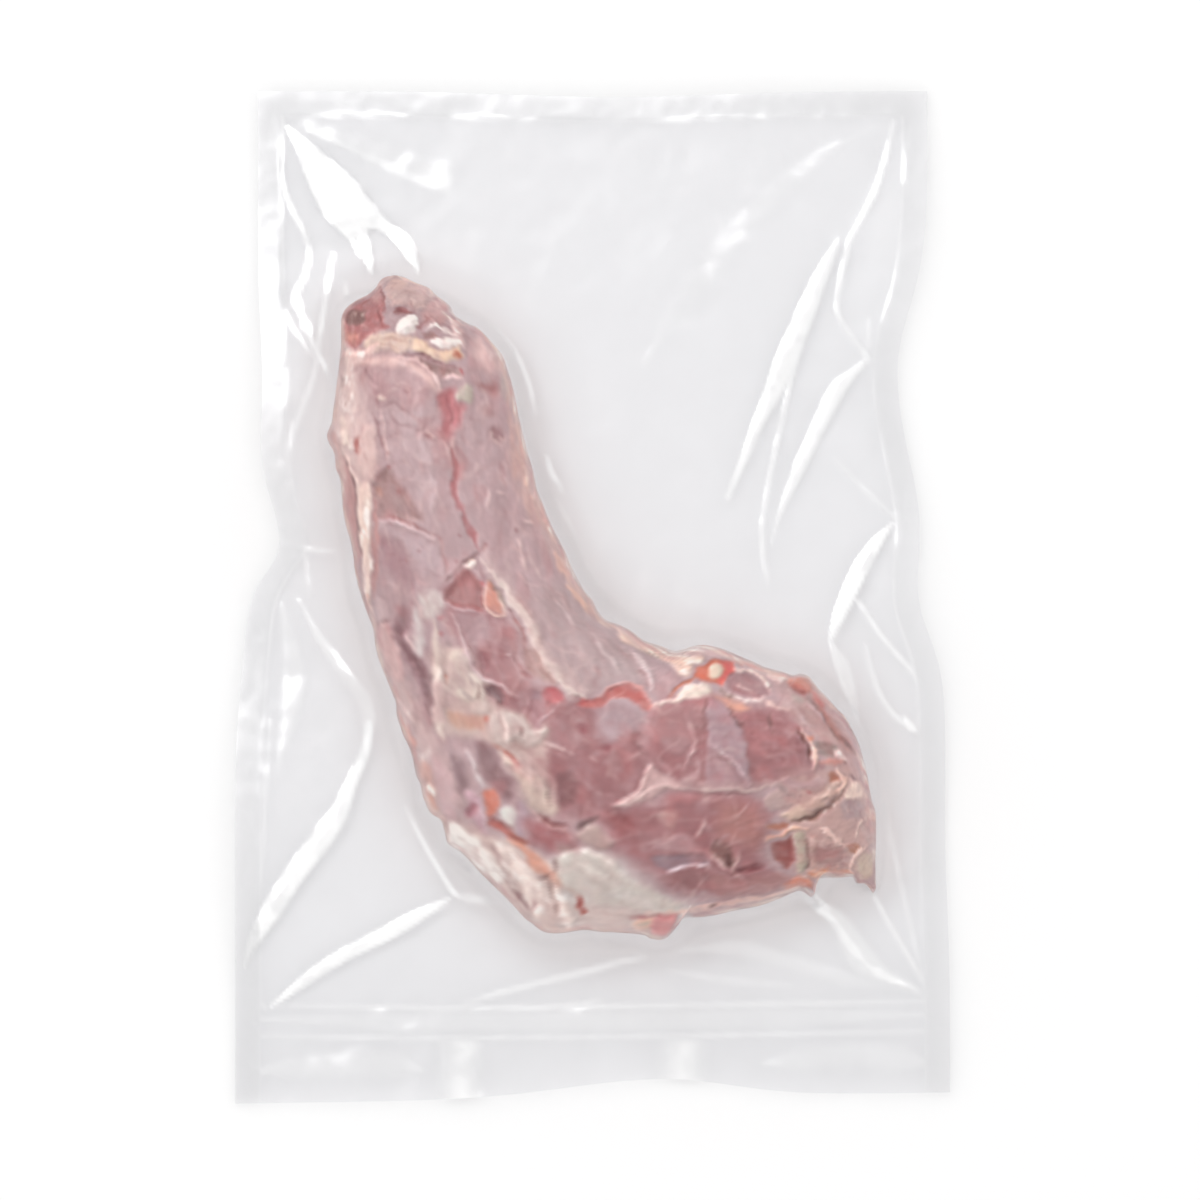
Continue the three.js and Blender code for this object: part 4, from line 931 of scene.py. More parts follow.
# %% [markdown]
# ## The flanks
# What is painted from above would run down the steep sides in long smears. So there the paint is first
# evened out along the neck, and then gets its own marbling of muscle, membrane and fat, laid out on the
# unrolled skin.

# %% The flanks
(x_u, x_v), (y_u, y_v), (z_u, z_v) = (np.gradient(g) for g in (neck_x, neck_y, neck_z))
normal = np.stack([y_u * z_v - z_u * y_v, z_u * x_v - x_u * z_v, x_u * y_v - y_u * x_v], axis=2)
level = np.abs(normal[..., 2]) / (np.linalg.norm(normal, axis=2) + 1e-9)
flank = (1 - ease(level, 0.15, 0.42)).ravel()
everywhere = np.arange(len(neck.x))
neck.tint(everywhere, 0.9 * flank, smoothed(neck.colour.reshape(STATIONS, -1)).reshape(-1, 3))
bare = flank * (1 - 0.6 * ease(neck.colour.mean(1), 0.78, 0.9))
for size, seed, tone, share in ((13, 81, MAUVE, 0.5), (10, 84, LILAC, 0.5), (9, 87, CREAM, 0.7),
                                (7, 90, PEACH, 0.6), (6, 93, RED, 0.3)):
    broad, small = noise(skin_x, skin_y, size, seed), noise(skin_x, skin_y, size / 2.6, seed + 1)
    islands = ease(broad + 0.5 * small, 0.1, 0.55)
    neck.tint(everywhere, share * bare * islands, tone)
# the white fat slab and its painted glare, carried down the flank
stroke(WHITE_FAT, 4, 0, (-50.4, -83), (-48.6, -87.8), (-43.6, -91.6), (-38, -96.4), strength=0.9)
stroke(rgb(238, 210, 200), (2.4, 3), 0, (-22, -113.6), (-12, -117), (2, -116.6), (16, -117.6), strength=0.8)
stroke(rgb(238, 212, 204), 3, 0, (-60, -66), (-57.6, -73), (-53.4, -77.4), (-51.6, -81.6), strength=0.7)
print("flanks are", round(float(flank.mean()), 2), "of the skin")

# %% [markdown]
# ## Fibres, veins and small lumps
# Muscle is a bundle of fibres that run along the neck. Many short, faint strokes follow it down, lighter
# and darker, so that no area is one flat colour. Ridged noise adds wisps of pale tissue and fine dark
# creases, and broad noise a blush of red here and there. Pale fat keeps most of the paint that it had
# before. Some light is painted in here as well: broad greyish veils of painted sheen, painted highlights on
# the small white lumps of the fat, a pale rim that lifts the shade of the steep edges, and a little painted
# fill light on the side away from the key light.

# %% Fibres, veins and small lumps
plain, fatty = neck.colour.copy(), ease(neck.colour.mean(1), 0.78, 0.88)
FIBRES = 260
rng = np.random.default_rng(8)
for _ in range(FIBRES):
    row, side = rng.integers(8, STATIONS - 30), rng.uniform(0.06, 0.94)
    rows = np.clip(np.linspace(row, row + rng.integers(6, 22), 4).astype(int), 0, STATIONS - 1)
    drift = side + rng.normal(0, 0.012, 4).cumsum()
    way = left_points[rows] * (1 - drift)[:, None] + right_points[rows] * drift[:, None]
    tone = [PALE_PINK, LILAC, MUSCLE, PINK, CREAM][rng.integers(0, 5)]
    stroke(tone, (rng.uniform(0.7, 1.8), 0.4), 0.1 if tone[1] > 0.6 else -0.1, *[tuple(p) for p in way],
           strength=rng.uniform(0.1, 0.35))


def ridges(x, y, size, seed, sharp):
    """Thin wandering lines, about size millimetres apart."""
    bend_x, bend_y = noise(x, y, size * 1.3, seed + 5), noise(x, y, size * 1.3, seed + 6)
    return (1 - np.abs(noise(x + 0.5 * size * bend_x, y + 0.5 * size * bend_y, size, seed))) ** sharp


patchy = ease(noise(skin_x, skin_y, 9, 61), -0.3, 0.6)
wisps = ridges(skin_x, skin_y, 8, 62, 14) * patchy + 0.7 * ridges(skin_x, skin_y, 4, 63, 10) * (1 - patchy)
creases = (ridges(skin_x, skin_y, 9, 64, 22) * (1 - patchy)
           + 0.6 * ridges(skin_x, skin_y, 4.4, 65, 14) * patchy)
blush = ease(noise(skin_x, skin_y, 8, 66) + 0.5 * noise(skin_x, skin_y, 3.5, 67), 0.1, 1.0)
neck.tint(everywhere, 0.3 * np.clip(wisps, 0, 1), rgb(232, 208, 203))
neck.tint(everywhere, 0.15 * np.clip(creases, 0, 1), rgb(160, 100, 100))
paleness = ease(neck.colour.mean(1), 0.52, 0.8)
neck.tint(everywhere, 0.34 * blush * (1 - 0.9 * paleness), rgb(200, 130, 131))
neck.lift += 0.1 * wisps - 0.08 * creases
# painted sheen: broad greyish veils over the darker flesh, as of the film's reflection
sheen_veil = ease(noise(skin_x, skin_y, 13, 76) + 0.5 * noise(skin_x, skin_y, 5, 77), 0, 0.8)
neck.tint(everywhere, 0.17 * sheen_veil * (1 - paleness), rgb(206, 190, 194))
neck.tint(everywhere, 0.65 * fatty, plain)

along_mm = np.repeat((left_at + right_at) / 2, len(spots))
across_mm = (spots * np.linalg.norm(right_points - left_points, axis=1)[:, None]).ravel()
unrolled = across_mm - drop.ravel()
fibre = noise(along_mm / 9, unrolled / 0.9, 1, 68) + 0.7 * noise(along_mm / 5, unrolled / 0.5, 1, 69)
neck.colour *= 1 + 0.025 * (fibre * (1 - 0.7 * paleness))[:, None]
neck_width = np.repeat(np.linalg.norm(right_points - left_points, axis=1), len(spots))
rim_distance = np.minimum(across_mm, neck_width - across_mm)
# a pale rim at the very edge: partly the thin flesh's own paler colour, partly painted light that lifts the
# shade of the steep edge
pale_rim_and_fill = (1 - ease(rim_distance, 0.3, 2.2)) * (0.6 + 0.4 * noise(skin_x, skin_y, 5, 70))
neck.tint(everywhere, 0.6 * np.clip(pale_rim_and_fill, 0, 1), rgb(236, 206, 196))
# painted fill light: the right half of the top, turned away from the key light, is lightened a little
away = np.tile(ease(spots, 0.6, 1) * is_top, STATIONS)
neck.colour *= 1 + 0.07 * away[:, None]
fat = ease(neck.colour.mean(1), 0.79, 0.87)
curds = ease(noise(skin_x, skin_y, 4.2, 72) + 0.7 * noise(skin_x, skin_y, 1.8, 73), 0, 0.5)
# white lumps on the fat stand up a little and are painted brighter, partly as painted highlights
lumps_and_highlights = ease(noise(skin_x, skin_y, 5.1, 74) + 0.6 * noise(skin_x, skin_y, 2, 75), 0.15, 0.6)
neck.tint(everywhere, 0.22 * fat * curds, rgb(212, 184, 180))
neck.tint(everywhere, 0.6 * fat * lumps_and_highlights, rgb(252, 248, 246))
neck.lift += fat * (0.25 * lumps_and_highlights - 0.15 * curds)
mottle = (0.5 * noise(skin_x, skin_y, 6, 31) + 0.3 * noise(skin_x, skin_y, 2.2, 32)
          + 0.3 * noise(skin_x, skin_y, 1, 33))
neck.colour *= 1 + 0.05 * mottle[:, None] * np.array([0.7, 1.1, 1.1])
neck.lift += 0.35 * noise(skin_x, skin_y, 9, 34) + 0.07 * noise(skin_x, skin_y, 3.2, 35)
print("lift", round(neck.lift.min(), 2), "to", round(neck.lift.max(), 2), "mm")

# %% [markdown]
# ## Light on the small relief
# The film presses the flesh flat, but in the photo every small step still shows a lit side and a shaded
# side. The slope of the lift towards the upper left lightens the paint a little, hollows darken it, and
# the steepest lit slopes get a fleck of white, as wet edges do. Last, each place moves a little away from
# the mean of its surroundings, which makes every border crisper.

# %% Light on the small relief
SHAPE = (STATIONS, len(spots))


def slope_to_light(lift, x, y):
    """How steeply the lift rises away from the light, for places laid out in a grid."""
    (l_u, l_v), (x_u, x_v), (y_u, y_v) = np.gradient(lift), np.gradient(x), np.gradient(y)
    area = x_u * y_v - y_u * x_v
    area = np.where(np.abs(area) < 0.05, 0.05 * np.where(area < 0, -1, 1), area)
    return 0.7 * ((l_u * y_v - l_v * y_u) - (x_u * l_v - x_v * l_u)) / area


def blurred(field, times):
    for _ in range(times):
        field = (field + np.roll(field, 1, 0) + np.roll(field, -1, 0)
                 + np.roll(field, 1, 1) + np.roll(field, -1, 1)) / 5
    return field


lift_grid = neck.lift.reshape(SHAPE)
tips = (ease(station, 0.01, 0.06) * ease(1 - station, 0.005, 0.03))[:, None]
slope = slope_to_light(lift_grid, skin_x.reshape(SHAPE), skin_y.reshape(SHAPE))
slope = (tips * np.clip(slope, -0.7, 0.7)).ravel() * (1 - 0.6 * flank)
hollow = np.clip((lift_grid - blurred(lift_grid, 14)) / 0.5, -1, 1).ravel()
neck.colour *= (1 + 0.2 * slope + 0.07 * hollow)[:, None]
fleck = ease(slope, 0.2, 0.45) * ease(noise(skin_x, skin_y, 1.8, 71), 0, 0.5)
neck.tint(everywhere, 0.4 * fleck, rgb(250, 238, 233))
paint = blurred(neck.colour.reshape(*SHAPE, 3), 1)
for times, amount in ((3, 0.22), (24, 0.25)):
    paint += amount * (paint - blurred(paint, times))
neck.colour = np.clip(paint, 0.12, rgb(253, 247, 243)).reshape(-1, 3)
print("lit slopes", round(float((slope > 0.3).mean()), 3), "flecks", int((fleck > 0.5).sum()))

# %% [markdown]
# ## The neck's mesh
# Now the grid primitive is made, and its vertices are set onto the cross-sections. The seam is merged and
# the two tips are closed, which leaves one watertight skin. The colours go into a point attribute.

# %% The neck's mesh
def linear(colour):
    """Screen colour to the linear light that Blender counts in."""
    c = np.clip(colour, 0, 1)
    return np.where(c <= 0.04045, c / 12.92, ((c + 0.055) / 1.055) ** 2.4)


def only(piece):
    """Leaves this piece alone selected and active."""
    for other in bpy.context.view_layer.objects:
        other.select_set(False)
    piece.select_set(True)
    bpy.context.view_layer.objects.active = piece


def grid(name, columns, rows):
    for other in bpy.context.view_layer.objects:
        other.select_set(False)
    bpy.ops.mesh.primitive_grid_add(x_subdivisions=columns, y_subdivisions=rows, size=1)
    made = bpy.context.object
    made.name = made.data.name = name
    return made


COLUMNS = len(spots) - 1
WARMTH = np.array([1.05, 1.03, 1.01])   # film and juice take some warmth away again
meat = grid("neck", COLUMNS, STATIONS - 1)
shown = np.tile(is_top, (STATIONS, 1)).ravel() > 0
full = np.minimum(1, 1.6 * np.tile(bulge, (STATIONS, 1)).ravel())
ends = np.repeat(ease(station, 0, 0.03) * ease(1 - station, 0, 0.03), len(spots))
neck_height = neck_z.ravel() + np.where(shown, neck.lift * full * ends, 0)
co = np.column_stack([neck_x.ravel(), neck_y.ravel(), neck_height]) * MM
meat.data.vertices.foreach_set("co", co.astype(np.float32).ravel())

plan_x, plan_y = neck_x.ravel(), neck_y.ravel()
below = 0.5 + 0.5 * noise(plan_x, plan_y, 14, 41) + 0.2 * noise(plan_x, plan_y, 4, 42)
under_colour = MUSCLE + ease(below, 0.35, 0.75)[:, None] * (PALE_PINK - MUSCLE)
blend = np.where(shown, 0, ease(np.tile(bulge, (STATIONS, 1)).ravel(), 0, 0.5))[:, None]
skin_colour = neck.colour * (1 - blend) + under_colour * blend
flesh = meat.data.color_attributes.new("flesh", "FLOAT_COLOR", "POINT")
rgba = np.column_stack([linear(skin_colour) * WARMTH, np.ones(len(co))])
flesh.data.foreach_set("color", rgba.astype(np.float32).ravel())

only(meat)
bpy.ops.object.mode_set(mode="EDIT")
bpy.ops.mesh.select_all(action="SELECT")
bpy.ops.mesh.remove_doubles(threshold=0.00001)
bpy.ops.mesh.fill_holes(sides=0)
bpy.ops.mesh.select_all(action="SELECT")
bpy.ops.mesh.normals_make_consistent(inside=False)
bpy.ops.object.mode_set(mode="OBJECT")
bpy.ops.object.shade_smooth()
print("neck", len(meat.data.vertices), "vertices", len(meat.data.polygons), "faces")

# %% [markdown]
# ## The bag's outline
# The bag is a rectangle that the vacuum has pulled out of shape. Where the film was sucked in towards the
# meat the edge has a dent, given by its place, its depth and how far it spreads before and after.

# %% The bag's outline
BAG_WIDTH, BAG_LENGTH, TOP_HALF_WIDTH, END_SKEW = 250, 354, 117, 4
WIDENS_FROM, FULL_WIDTH_FROM = 0.35, 0.7
LEFT_PULLS = ((18, 9, 9, 15), (74, 1.6, 14, 20))
RIGHT_PULLS = ((78, 10.4, 31, 22), (-3, 6, 13, 16), (-78, 1.8, 30, 30))
TOP_PULLS = ((8, 2.1, 35, 35),)
BOTTOM_PULLS = ((24, 6.3, 33, 24),)


def pull(dents, place):
    total = np.zeros_like(place)
    for at, depth, before, after in dents:
        away = place - at
        total += depth * np.exp(-0.5 * (away / np.where(away < 0, before, after)) ** 2)
    return total


def bag_point(across, down):
    """The place in the flat bag, for shares 0 to 1 across it and down it."""
    y = BAG_LENGTH * (0.5 - down)
    half = TOP_HALF_WIDTH + (BAG_WIDTH / 2 - TOP_HALF_WIDTH) * ease(down, WIDENS_FROM, FULL_WIDTH_FROM)
    left, right = -half + pull(LEFT_PULLS, y), half - pull(RIGHT_PULLS, y)
    x = left + (right - left) * across
    ramp = ease(across, 0, 0.1) * ease(1 - across, 0, 0.1)
    top = BAG_LENGTH / 2 - pull(TOP_PULLS, x) * ramp
    bottom = -BAG_LENGTH / 2 + END_SKEW * across + pull(BOTTOM_PULLS, x) * ramp
    return x, top + (bottom - top) * down


FILM_ACROSS, FILM_DOWN = 216, 306
share_x, share_y = np.meshgrid(np.linspace(0, 1, FILM_ACROSS + 1), np.linspace(0, 1, FILM_DOWN + 1))
film_x, film_y = bag_point(share_x, share_y)
print("film cells about", round(BAG_WIDTH / FILM_ACROSS, 2), "mm wide")

# %% [markdown]
# ## Draping the film
# A ray is dropped on the meat from above each film vertex. Then the film is relaxed: every vertex moves
# to the mean of its neighbours, the vacuum pulls it down, and the meat stops it. What's left is the tent
# beside the meat.

# %% Draping the film
RIM_HEIGHT, RIM_WAVE, CORNER_DROOP = 4.6, 1.3, 1.6
CLEARANCE = 0.45                  # from meat to film, mm
SUCTION = 5.5                     # how far from the meat the film lifts off, mm
RELAX_STEPS = 260
RAY_FROM = 0.2                    # where the rays start, well above the pack, m


def rim_height(x, y):
    across, lengthwise = x / (BAG_WIDTH / 2), y / (BAG_LENGTH / 2)
    wave = np.cos(2.5 * math.pi * lengthwise + 0.6) * across + 0.6 * np.sin(3 * across) * lengthwise
    return RIM_HEIGHT + RIM_WAVE * wave - CORNER_DROOP * across**2 * lengthwise**2


tree = BVHTree.FromPolygons([v.co[:] for v in meat.data.vertices],
                            [p.vertices[:] for p in meat.data.polygons])
down = Vector((0, 0, -1))
meat_top = np.full(film_x.shape, -1.0)
for index, (x, y) in enumerate(zip(film_x.ravel(), film_y.ravel())):
    hit = tree.ray_cast(Vector((x * MM, y * MM, RAY_FROM)), down)[0]
    if hit:
        meat_top.flat[index] = hit.z / MM + CLEARANCE

flat = rim_height(film_x, film_y)
film_z = np.maximum(flat, meat_top)
hold = (BAG_WIDTH / FILM_ACROSS / SUCTION) ** 2 / 4
for _ in range(RELAX_STEPS):
    mean = (film_z[:-2, 1:-1] + film_z[2:, 1:-1] + film_z[1:-1, :-2] + film_z[1:-1, 2:]) / 4
    film_z[1:-1, 1:-1] = mean + hold * (flat[1:-1, 1:-1] - mean)
    film_z = np.maximum(film_z, meat_top)
print("film from", round(film_z.min(), 1), "to", round(film_z.max(), 1), "mm high")

# %% [markdown]
# ## Folds and welds in the film
# Stiff film can't stretch, so it folds. Each fold is a stroke on a second canvas: the lift raises a
# crest, and the "colour" here is one number, the sheen, for how strongly that fold catches the light.

# %% Folds and welds in the film
film = Canvas(film_x.ravel(), film_y.ravel(), np.zeros(1), film_x.ravel(), film_y.ravel())
film.x, film.y = film_x.ravel(), film_y.ravel()
film.ink, film.rough, film.finest = 1.0, 0.15, 1.0
DIM, SOFT, BRIGHT, GLARE = (np.array([v]) for v in (0.2, 0.42, 0.8, 1.0))
WELD, WELD_SHEEN = 9, 0.3

film.patch(GLARE, 1, 1.2, (-107.4, 165), (-103.2, 156), (-99, 144), (-94.2, 134.4), (-87.6, 127.2),
           (-84, 123.6), (-81.6, 119), (-82.4, 125.6), (-80.4, 120), (-77.6, 112.6), (-77, 117),
           (-78.2, 124), (-78.4, 128.4), (-74, 128.2), (-69.6, 124.8), (-64.8, 118.8), (-60.4, 112.6),
           (-62.2, 122.4), (-65.4, 127.2), (-72, 132), (-78, 139.2), (-85.2, 147.6), (-93.6, 154.8),
           (-102, 161.4))
film.patch(DIM, 4, 0, (-100.8, 166.2), (-93.6, 165.2), (-72, 159), (-56.4, 153), (-48, 151.8), (-48.6, 145),
           (-51.6, 141.6), (-60, 145.8), (-72, 151.2), (-84, 156), (-96, 162))
film.stroke(SOFT, (1, 3), 0, (-99, 163.6), (-88, 158.6), (-74, 152.6), (-62, 148))
film.patch(SOFT, 4, 0, (-84, 156.5), (-64, 152), (-51, 151), (-50, 145), (-54, 142.6), (-68, 148))
film.stroke(BRIGHT, (1.2, 1.8), 0.4, (-108.6, 165.6), (-109, 153.6), (-108, 144), (-104.4, 134.4),
            (-100.8, 127.2), (-99, 120), (-100.8, 111.6))
film.stroke(BRIGHT, (1.8, 4), 0.4, (-100.8, 111.6), (-103.6, 105.6), (-101.6, 98.6))
film.stroke(BRIGHT, (4, 1.2), 0.4, (-101.6, 98.6), (-99.2, 92.4), (-97, 86.4))
film.stroke(BRIGHT, (0.8, 2.2), 0.5, (-90.6, 120), (-92.4, 110.4), (-94.2, 98.4), (-96, 86.4))
film.stroke(SOFT, (2.2, 1), 0.4, (-96, 86.4), (-97.2, 78), (-102, 64.8), (-106, 54))
film.stroke(SOFT, 1, 0.4, (-108.6, 102), (-104.4, 93.6), (-98, 84.6))
film.stroke(BRIGHT, (2, 1), 0.4, (-96, 85.2), (-93.6, 81), (-91.6, 76))
film.stroke(BRIGHT, 1, 0.4, (-86.4, 109.2), (-85.2, 103.2))
film.stroke(DIM, 1.4, 0.5, (-105.9, 56.5), (-105.9, 43.6), (-101.7, 23.3), (-99.9, 9.6), (-98.9, 1.2))
film.stroke(SOFT, (1, 2.4), 0.6, (-110, 19), (-102, 17), (-90, 16))
film.patch(DIM, 2, 0.6, (-109, -1.2), (-101.7, -20.8), (-100.3, -31), (-103.1, -43.6), (-110, -58.3),
           (-108, -30))
film.stroke(SOFT, (4, 5), 1.2, (-102.4, -1.2), (-94.7, -15.6), (-86.3, -26.8), (-79.6, -35.9), (-78, -44),
            (-80.6, -55))
film.patch(GLARE, 1.6, 1.8, (-79.6, -44), (-80.3, -51), (-85.9, -64), (-92.9, -75.6), (-106.2, -93.4),
           (-115.3, -107.6), (-120.6, -119), (-122.4, -132), (-118.6, -124), (-109.7, -111.6),
           (-101, -98.6), (-87.7, -80.6), (-82.1, -65), (-77.9, -54.4), (-77, -44))
film.stroke(SOFT, 0.8, 0.3, (-112.5, -42.9), (-114.3, -69.5), (-116, -96.4), (-121.6, -121.3),
            (-122.7, -135.6), (-118.8, -139.1), (-114.3, -143.7))
film.patch(GLARE, 1.2, 1.4, (-113, -143.6), (-106.6, -136.6), (-96.2, -127.8), (-78, -117.4),
           (-62.4, -109.6), (-50.7, -105), (-52.6, -108), (-67.6, -118), (-85.8, -127), (-104, -138.4))
film.stroke(BRIGHT, (1, 2.6), 0.8, (-65.3, -73.3), (-59, -85.6), (-49.9, -101), (-46.4, -104.5))
film.stroke(SOFT, (4, 2), 0.6, (-46.4, -104.5), (-32.4, -106.2))
film.stroke(SOFT, (2, 3), 0.4, (-44.2, -141.8), (-31.2, -137.9), (-5.2, -131.4), (16.1, -125.7))
film.stroke(SOFT, 1, 0.2, (-23.3, -143.7), (2.6, -141.2))
print("left folds drawn")

# %% [markdown]
# ## The folds on the right
# Long creases run from the top right corner down to the bend of the neck, and a fan of them spreads from
# the bottom right corner. The right edge is sucked in at two places, with sharp bright wedges behind the
# dents.

# %% The folds on the right
film.stroke(BRIGHT, (0.8, 2.4), 0.8, (105.2, 166), (102.8, 154.8), (99.2, 142.8), (93.2, 130.8))
film.stroke(BRIGHT, (2.4, 0.8), 0.8, (93.2, 130.8), (89.6, 123.6), (86.7, 110.4), (86, 98.4), (96.8, 82.8))
film.patch(BRIGHT, 1.6, 1.2, (86.4, 125.4), (78.8, 115.2), (71.6, 100.8), (64.4, 84), (58.4, 67.2),
           (52.4, 50.4), (47, 34.6), (54, 47), (60.2, 61), (68, 74.4), (74.4, 91.2), (81, 108))
film.stroke(GLARE, (1.8, 1), 0.3, (77.6, 112), (71.4, 99), (64.6, 83.4), (58.6, 66), (52.6, 49.4), (47, 35))
film.stroke(BRIGHT, (1, 1.8), 0.6, (79, 104), (71.6, 84), (66.8, 64.8), (62.7, 45.6), (59.3, 26.4))
film.stroke(BRIGHT, (2, 0.7), 0.6, (59.3, 26.4), (59.6, 14.4), (61.5, 5))
film.patch(BRIGHT, 1.4, 0.8, (96.4, 83.4), (88, 78.4), (82.4, 73), (76.4, 60), (69.2, 43.2), (63.4, 24.4),
           (62.6, 19), (66, 28.8), (72.6, 41.4), (80.8, 58), (89, 73))
film.stroke(SOFT, 0.8, 0.3, (96.8, 97), (96.4, 87.6))
film.stroke(SOFT, 1, 0.4, (84.8, 48), (94.4, 38.4), (105.9, 27.6))
film.patch(GLARE, 1, 1.4, (104.6, 26.4), (94.6, 16.8), (88, 4.8), (83.4, -9.6), (83.1, -15.6), (86.2, -11),
           (92, 0.4), (96.8, 10), (102.8, 21.6))
film.patch(SOFT, 1.4, 0.7, (83.4, -15.6), (86, -24), (90, -34), (92.8, -44), (91.6, -30), (89, -22))
film.stroke(BRIGHT, (1, 0.8), 0.7, (83.1, -15.2), (86.4, -27.1), (90.4, -37.6), (92.6, -43.9))
film.stroke(BRIGHT, (1.6, 1), 0.8, (92.6, -1.2), (101.6, -14.4), (110, -24), (116.4, -31.3))
film.stroke(BRIGHT, (1.2, 1), 0.6, (95.4, -17), (99.2, -31.2), (105.2, -40.8), (112.4, -46.8))
film.stroke(SOFT, 0.9, 0.4, (116, -31.2), (114.6, -40), (112.4, -46.8))
film.patch(BRIGHT, 1, 0.6, (108.3, -41), (112, -44), (113.3, -46.7), (110, -46.2))
film.stroke(BRIGHT, (1.2, 0.8), 0.5, (-34.5, 94.7), (-27.1, 85.6), (-22.2, 74.4), (-20.1, 64.6))
film.stroke(BRIGHT, 1.2, 0.4, (-16, 49), (-14, 43), (-12, 40), (-11, 37.5))
film.stroke(SOFT, 1, 0.4, (-14, 35), (-11, 31), (-8.5, 26), (-6, 20.5), (-4, 15), (-1, 9), (2, 4), (5, 0),
            (8, -3.5), (12, -6.5), (16, -8.5), (20, -9.7), (26, -10.7))
film.patch(SOFT, 3, 1.0, (70.9, -103.4), (83.1, -114.3), (87, -123.4), (94, -132.1), (110.1, -137.4),
           (115, -138), (104, -130), (96, -121), (86, -109))
film.stroke(BRIGHT, (1.6, 3.6), 0.4, (78, -108), (84.5, -113.2), (89.7, -121), (96.2, -128.8))
film.stroke(BRIGHT, (3.6, 1.2), 0.4, (96.2, -128.8), (104, -133.4), (113.1, -137))
film.stroke(BRIGHT, 1, 0.4, (97.5, -102.7), (104.8, -116), (115.3, -133.9))
film.stroke(SOFT, 1, 0.4, (96.8, -60.7), (102.7, -78.6), (109, -105.5), (115.3, -133.2))
film.stroke(DIM, (6, 5), 0.8, (28.9, -123.4), (51.3, -122.3), (69.1, -127.6), (91.2, -133.9),
            (110.8, -136.7))
film.stroke(DIM, 3, 0.5, (27.1, -130.4), (46.7, -133.9), (69.1, -135.6))
film.stroke(SOFT, 0.9, 0.4, (17.7, -121.3), (17.3, -125.8), (6.5, -126.9))
film.stroke(BRIGHT, 0.9, 0.4, (72, -102), (80, -110))
film.stroke(BRIGHT, 0.8, 0.4, (74.4, -101), (82.4, -109))
film.stroke(DIM * 0.6, (3, 13), 0.3, (99.2, 164.4), (80, 154.8), (63.2, 140.4), (46.4, 122.4), (32, 103.2),
            (18, 82))
print("right folds drawn")

# %% [markdown]
# ## Seams and flap
# Three edges are welded by the maker in a band 9 mm wide, the fourth across the bag after filling. Below
# that weld a loose flap is left, where two folds shine. Welded film is a little cloudy, and a painted
# highlight runs along the weld's inner edge. Where the film tents down beside the meat, a painted sheen
# lightens the shade there.

# %% Seams and flap
# the painted sheen of folds, welds and tent, with the weld's own cloudiness
cloud_and_sheen = film.colour[:, 0]
width_here = np.interp(film.y, film_y[::-1, 0], (film_x[:, -1] - film_x[:, 0])[::-1])
from_side = np.minimum(share_x, 1 - share_x).ravel() * width_here
from_top = share_y.ravel() * BAG_LENGTH
rim = np.minimum(from_side, from_top)
welded = 1 - ease(rim, WELD - 1.2, WELD + 0.2)
cloud_and_sheen[:] = np.maximum(cloud_and_sheen, WELD_SHEEN * welded)
# painted highlight: a bright line along the weld's inner edge
cloud_and_sheen[:] = np.maximum(cloud_and_sheen, 0.3 * (1 - ease(np.abs(rim - WELD + 0.4), 0, 0.9)) * (film.y > -140))
film.stroke(SOFT, 1.6, -0.3, (-112, -142.6), (-60, -143.4), (0, -143), (60, -142.2), (118, -141))
film.stroke(DIM, 7.5, 0, (-122, -147.5), (-60, -148.2), (0, -148), (60, -147), (122, -145.6))
film.stroke(SOFT, 1.1, 0.3, (-122, -153.4), (-60, -154), (0, -153.6), (60, -152.8), (122, -151.5))
for x, wide in ((-46, 10), (31.5, 11)):
    bar = (1 - ease(np.abs(film.x - x), 0, wide)) * ease(-film.y, 152, 157)
    cloud_and_sheen[:] = np.maximum(cloud_and_sheen, 0.7 * bar)
film.stroke(DIM, 9, 0.4, (-120, -166), (-80, -163), (-60, -165))
film.stroke(DIM, 9, 0.4, (60, -163), (90, -160), (120, -163))

dull = ease(-film.y, 110, 165)    # towards the flap the film is a shade greyer
streaky = ease(noise(film.x, film.y, 8, 53) + 0.6 * noise(film.x, film.y, 3.4, 54), -0.7, 0.3)
cloud_and_sheen *= np.where(cloud_and_sheen > 0.25, 0.7 + 0.3 * streaky, 1)
# painted sheen on the film tent beside the meat, which lightens the shade that the meat casts there
tent_sheen = ease(film_z - flat, 1, 16).ravel() * ease(film_z - meat_top, 0.4, 4).ravel()
cloud_and_sheen[:] = np.maximum(cloud_and_sheen, 0.32 * tent_sheen)
clear = ease(film_z.ravel() - meat_top.ravel(), 0.3, 3) * (1 - welded)
ripple = 0.5 * noise(film.x, film.y, 16, 51) + 0.25 * noise(film.x, film.y, 6, 52)
film_height = film_z.ravel() + 0.6 * film.lift * (1 - 0.5 * welded) + ripple * clear
film_height = np.maximum(film_height, meat_top.ravel())
print("welded share", round(float(welded.mean()), 3))

# %% [markdown]
# ## The film's mesh
# The upper film is a grid laid on those heights. Its border is extruded inwards, ring by ring, underneath
# the pack: each ring is moved to where the lower film lies, and the last one is closed with a single flat
# face.

# %% The film's mesh
FILM_GAP = 0.25                   # between the two films at the rim, mm
RINGS = 9
UNDER_INSET = 0.42                # the innermost ring's reach, as a share of the way to the middle line

bag = grid("film", FILM_ACROSS, FILM_DOWN)
place = np.column_stack([film.x, film.y, film_height]) * MM
bag.data.vertices.foreach_set("co", place.astype(np.float32).ravel())

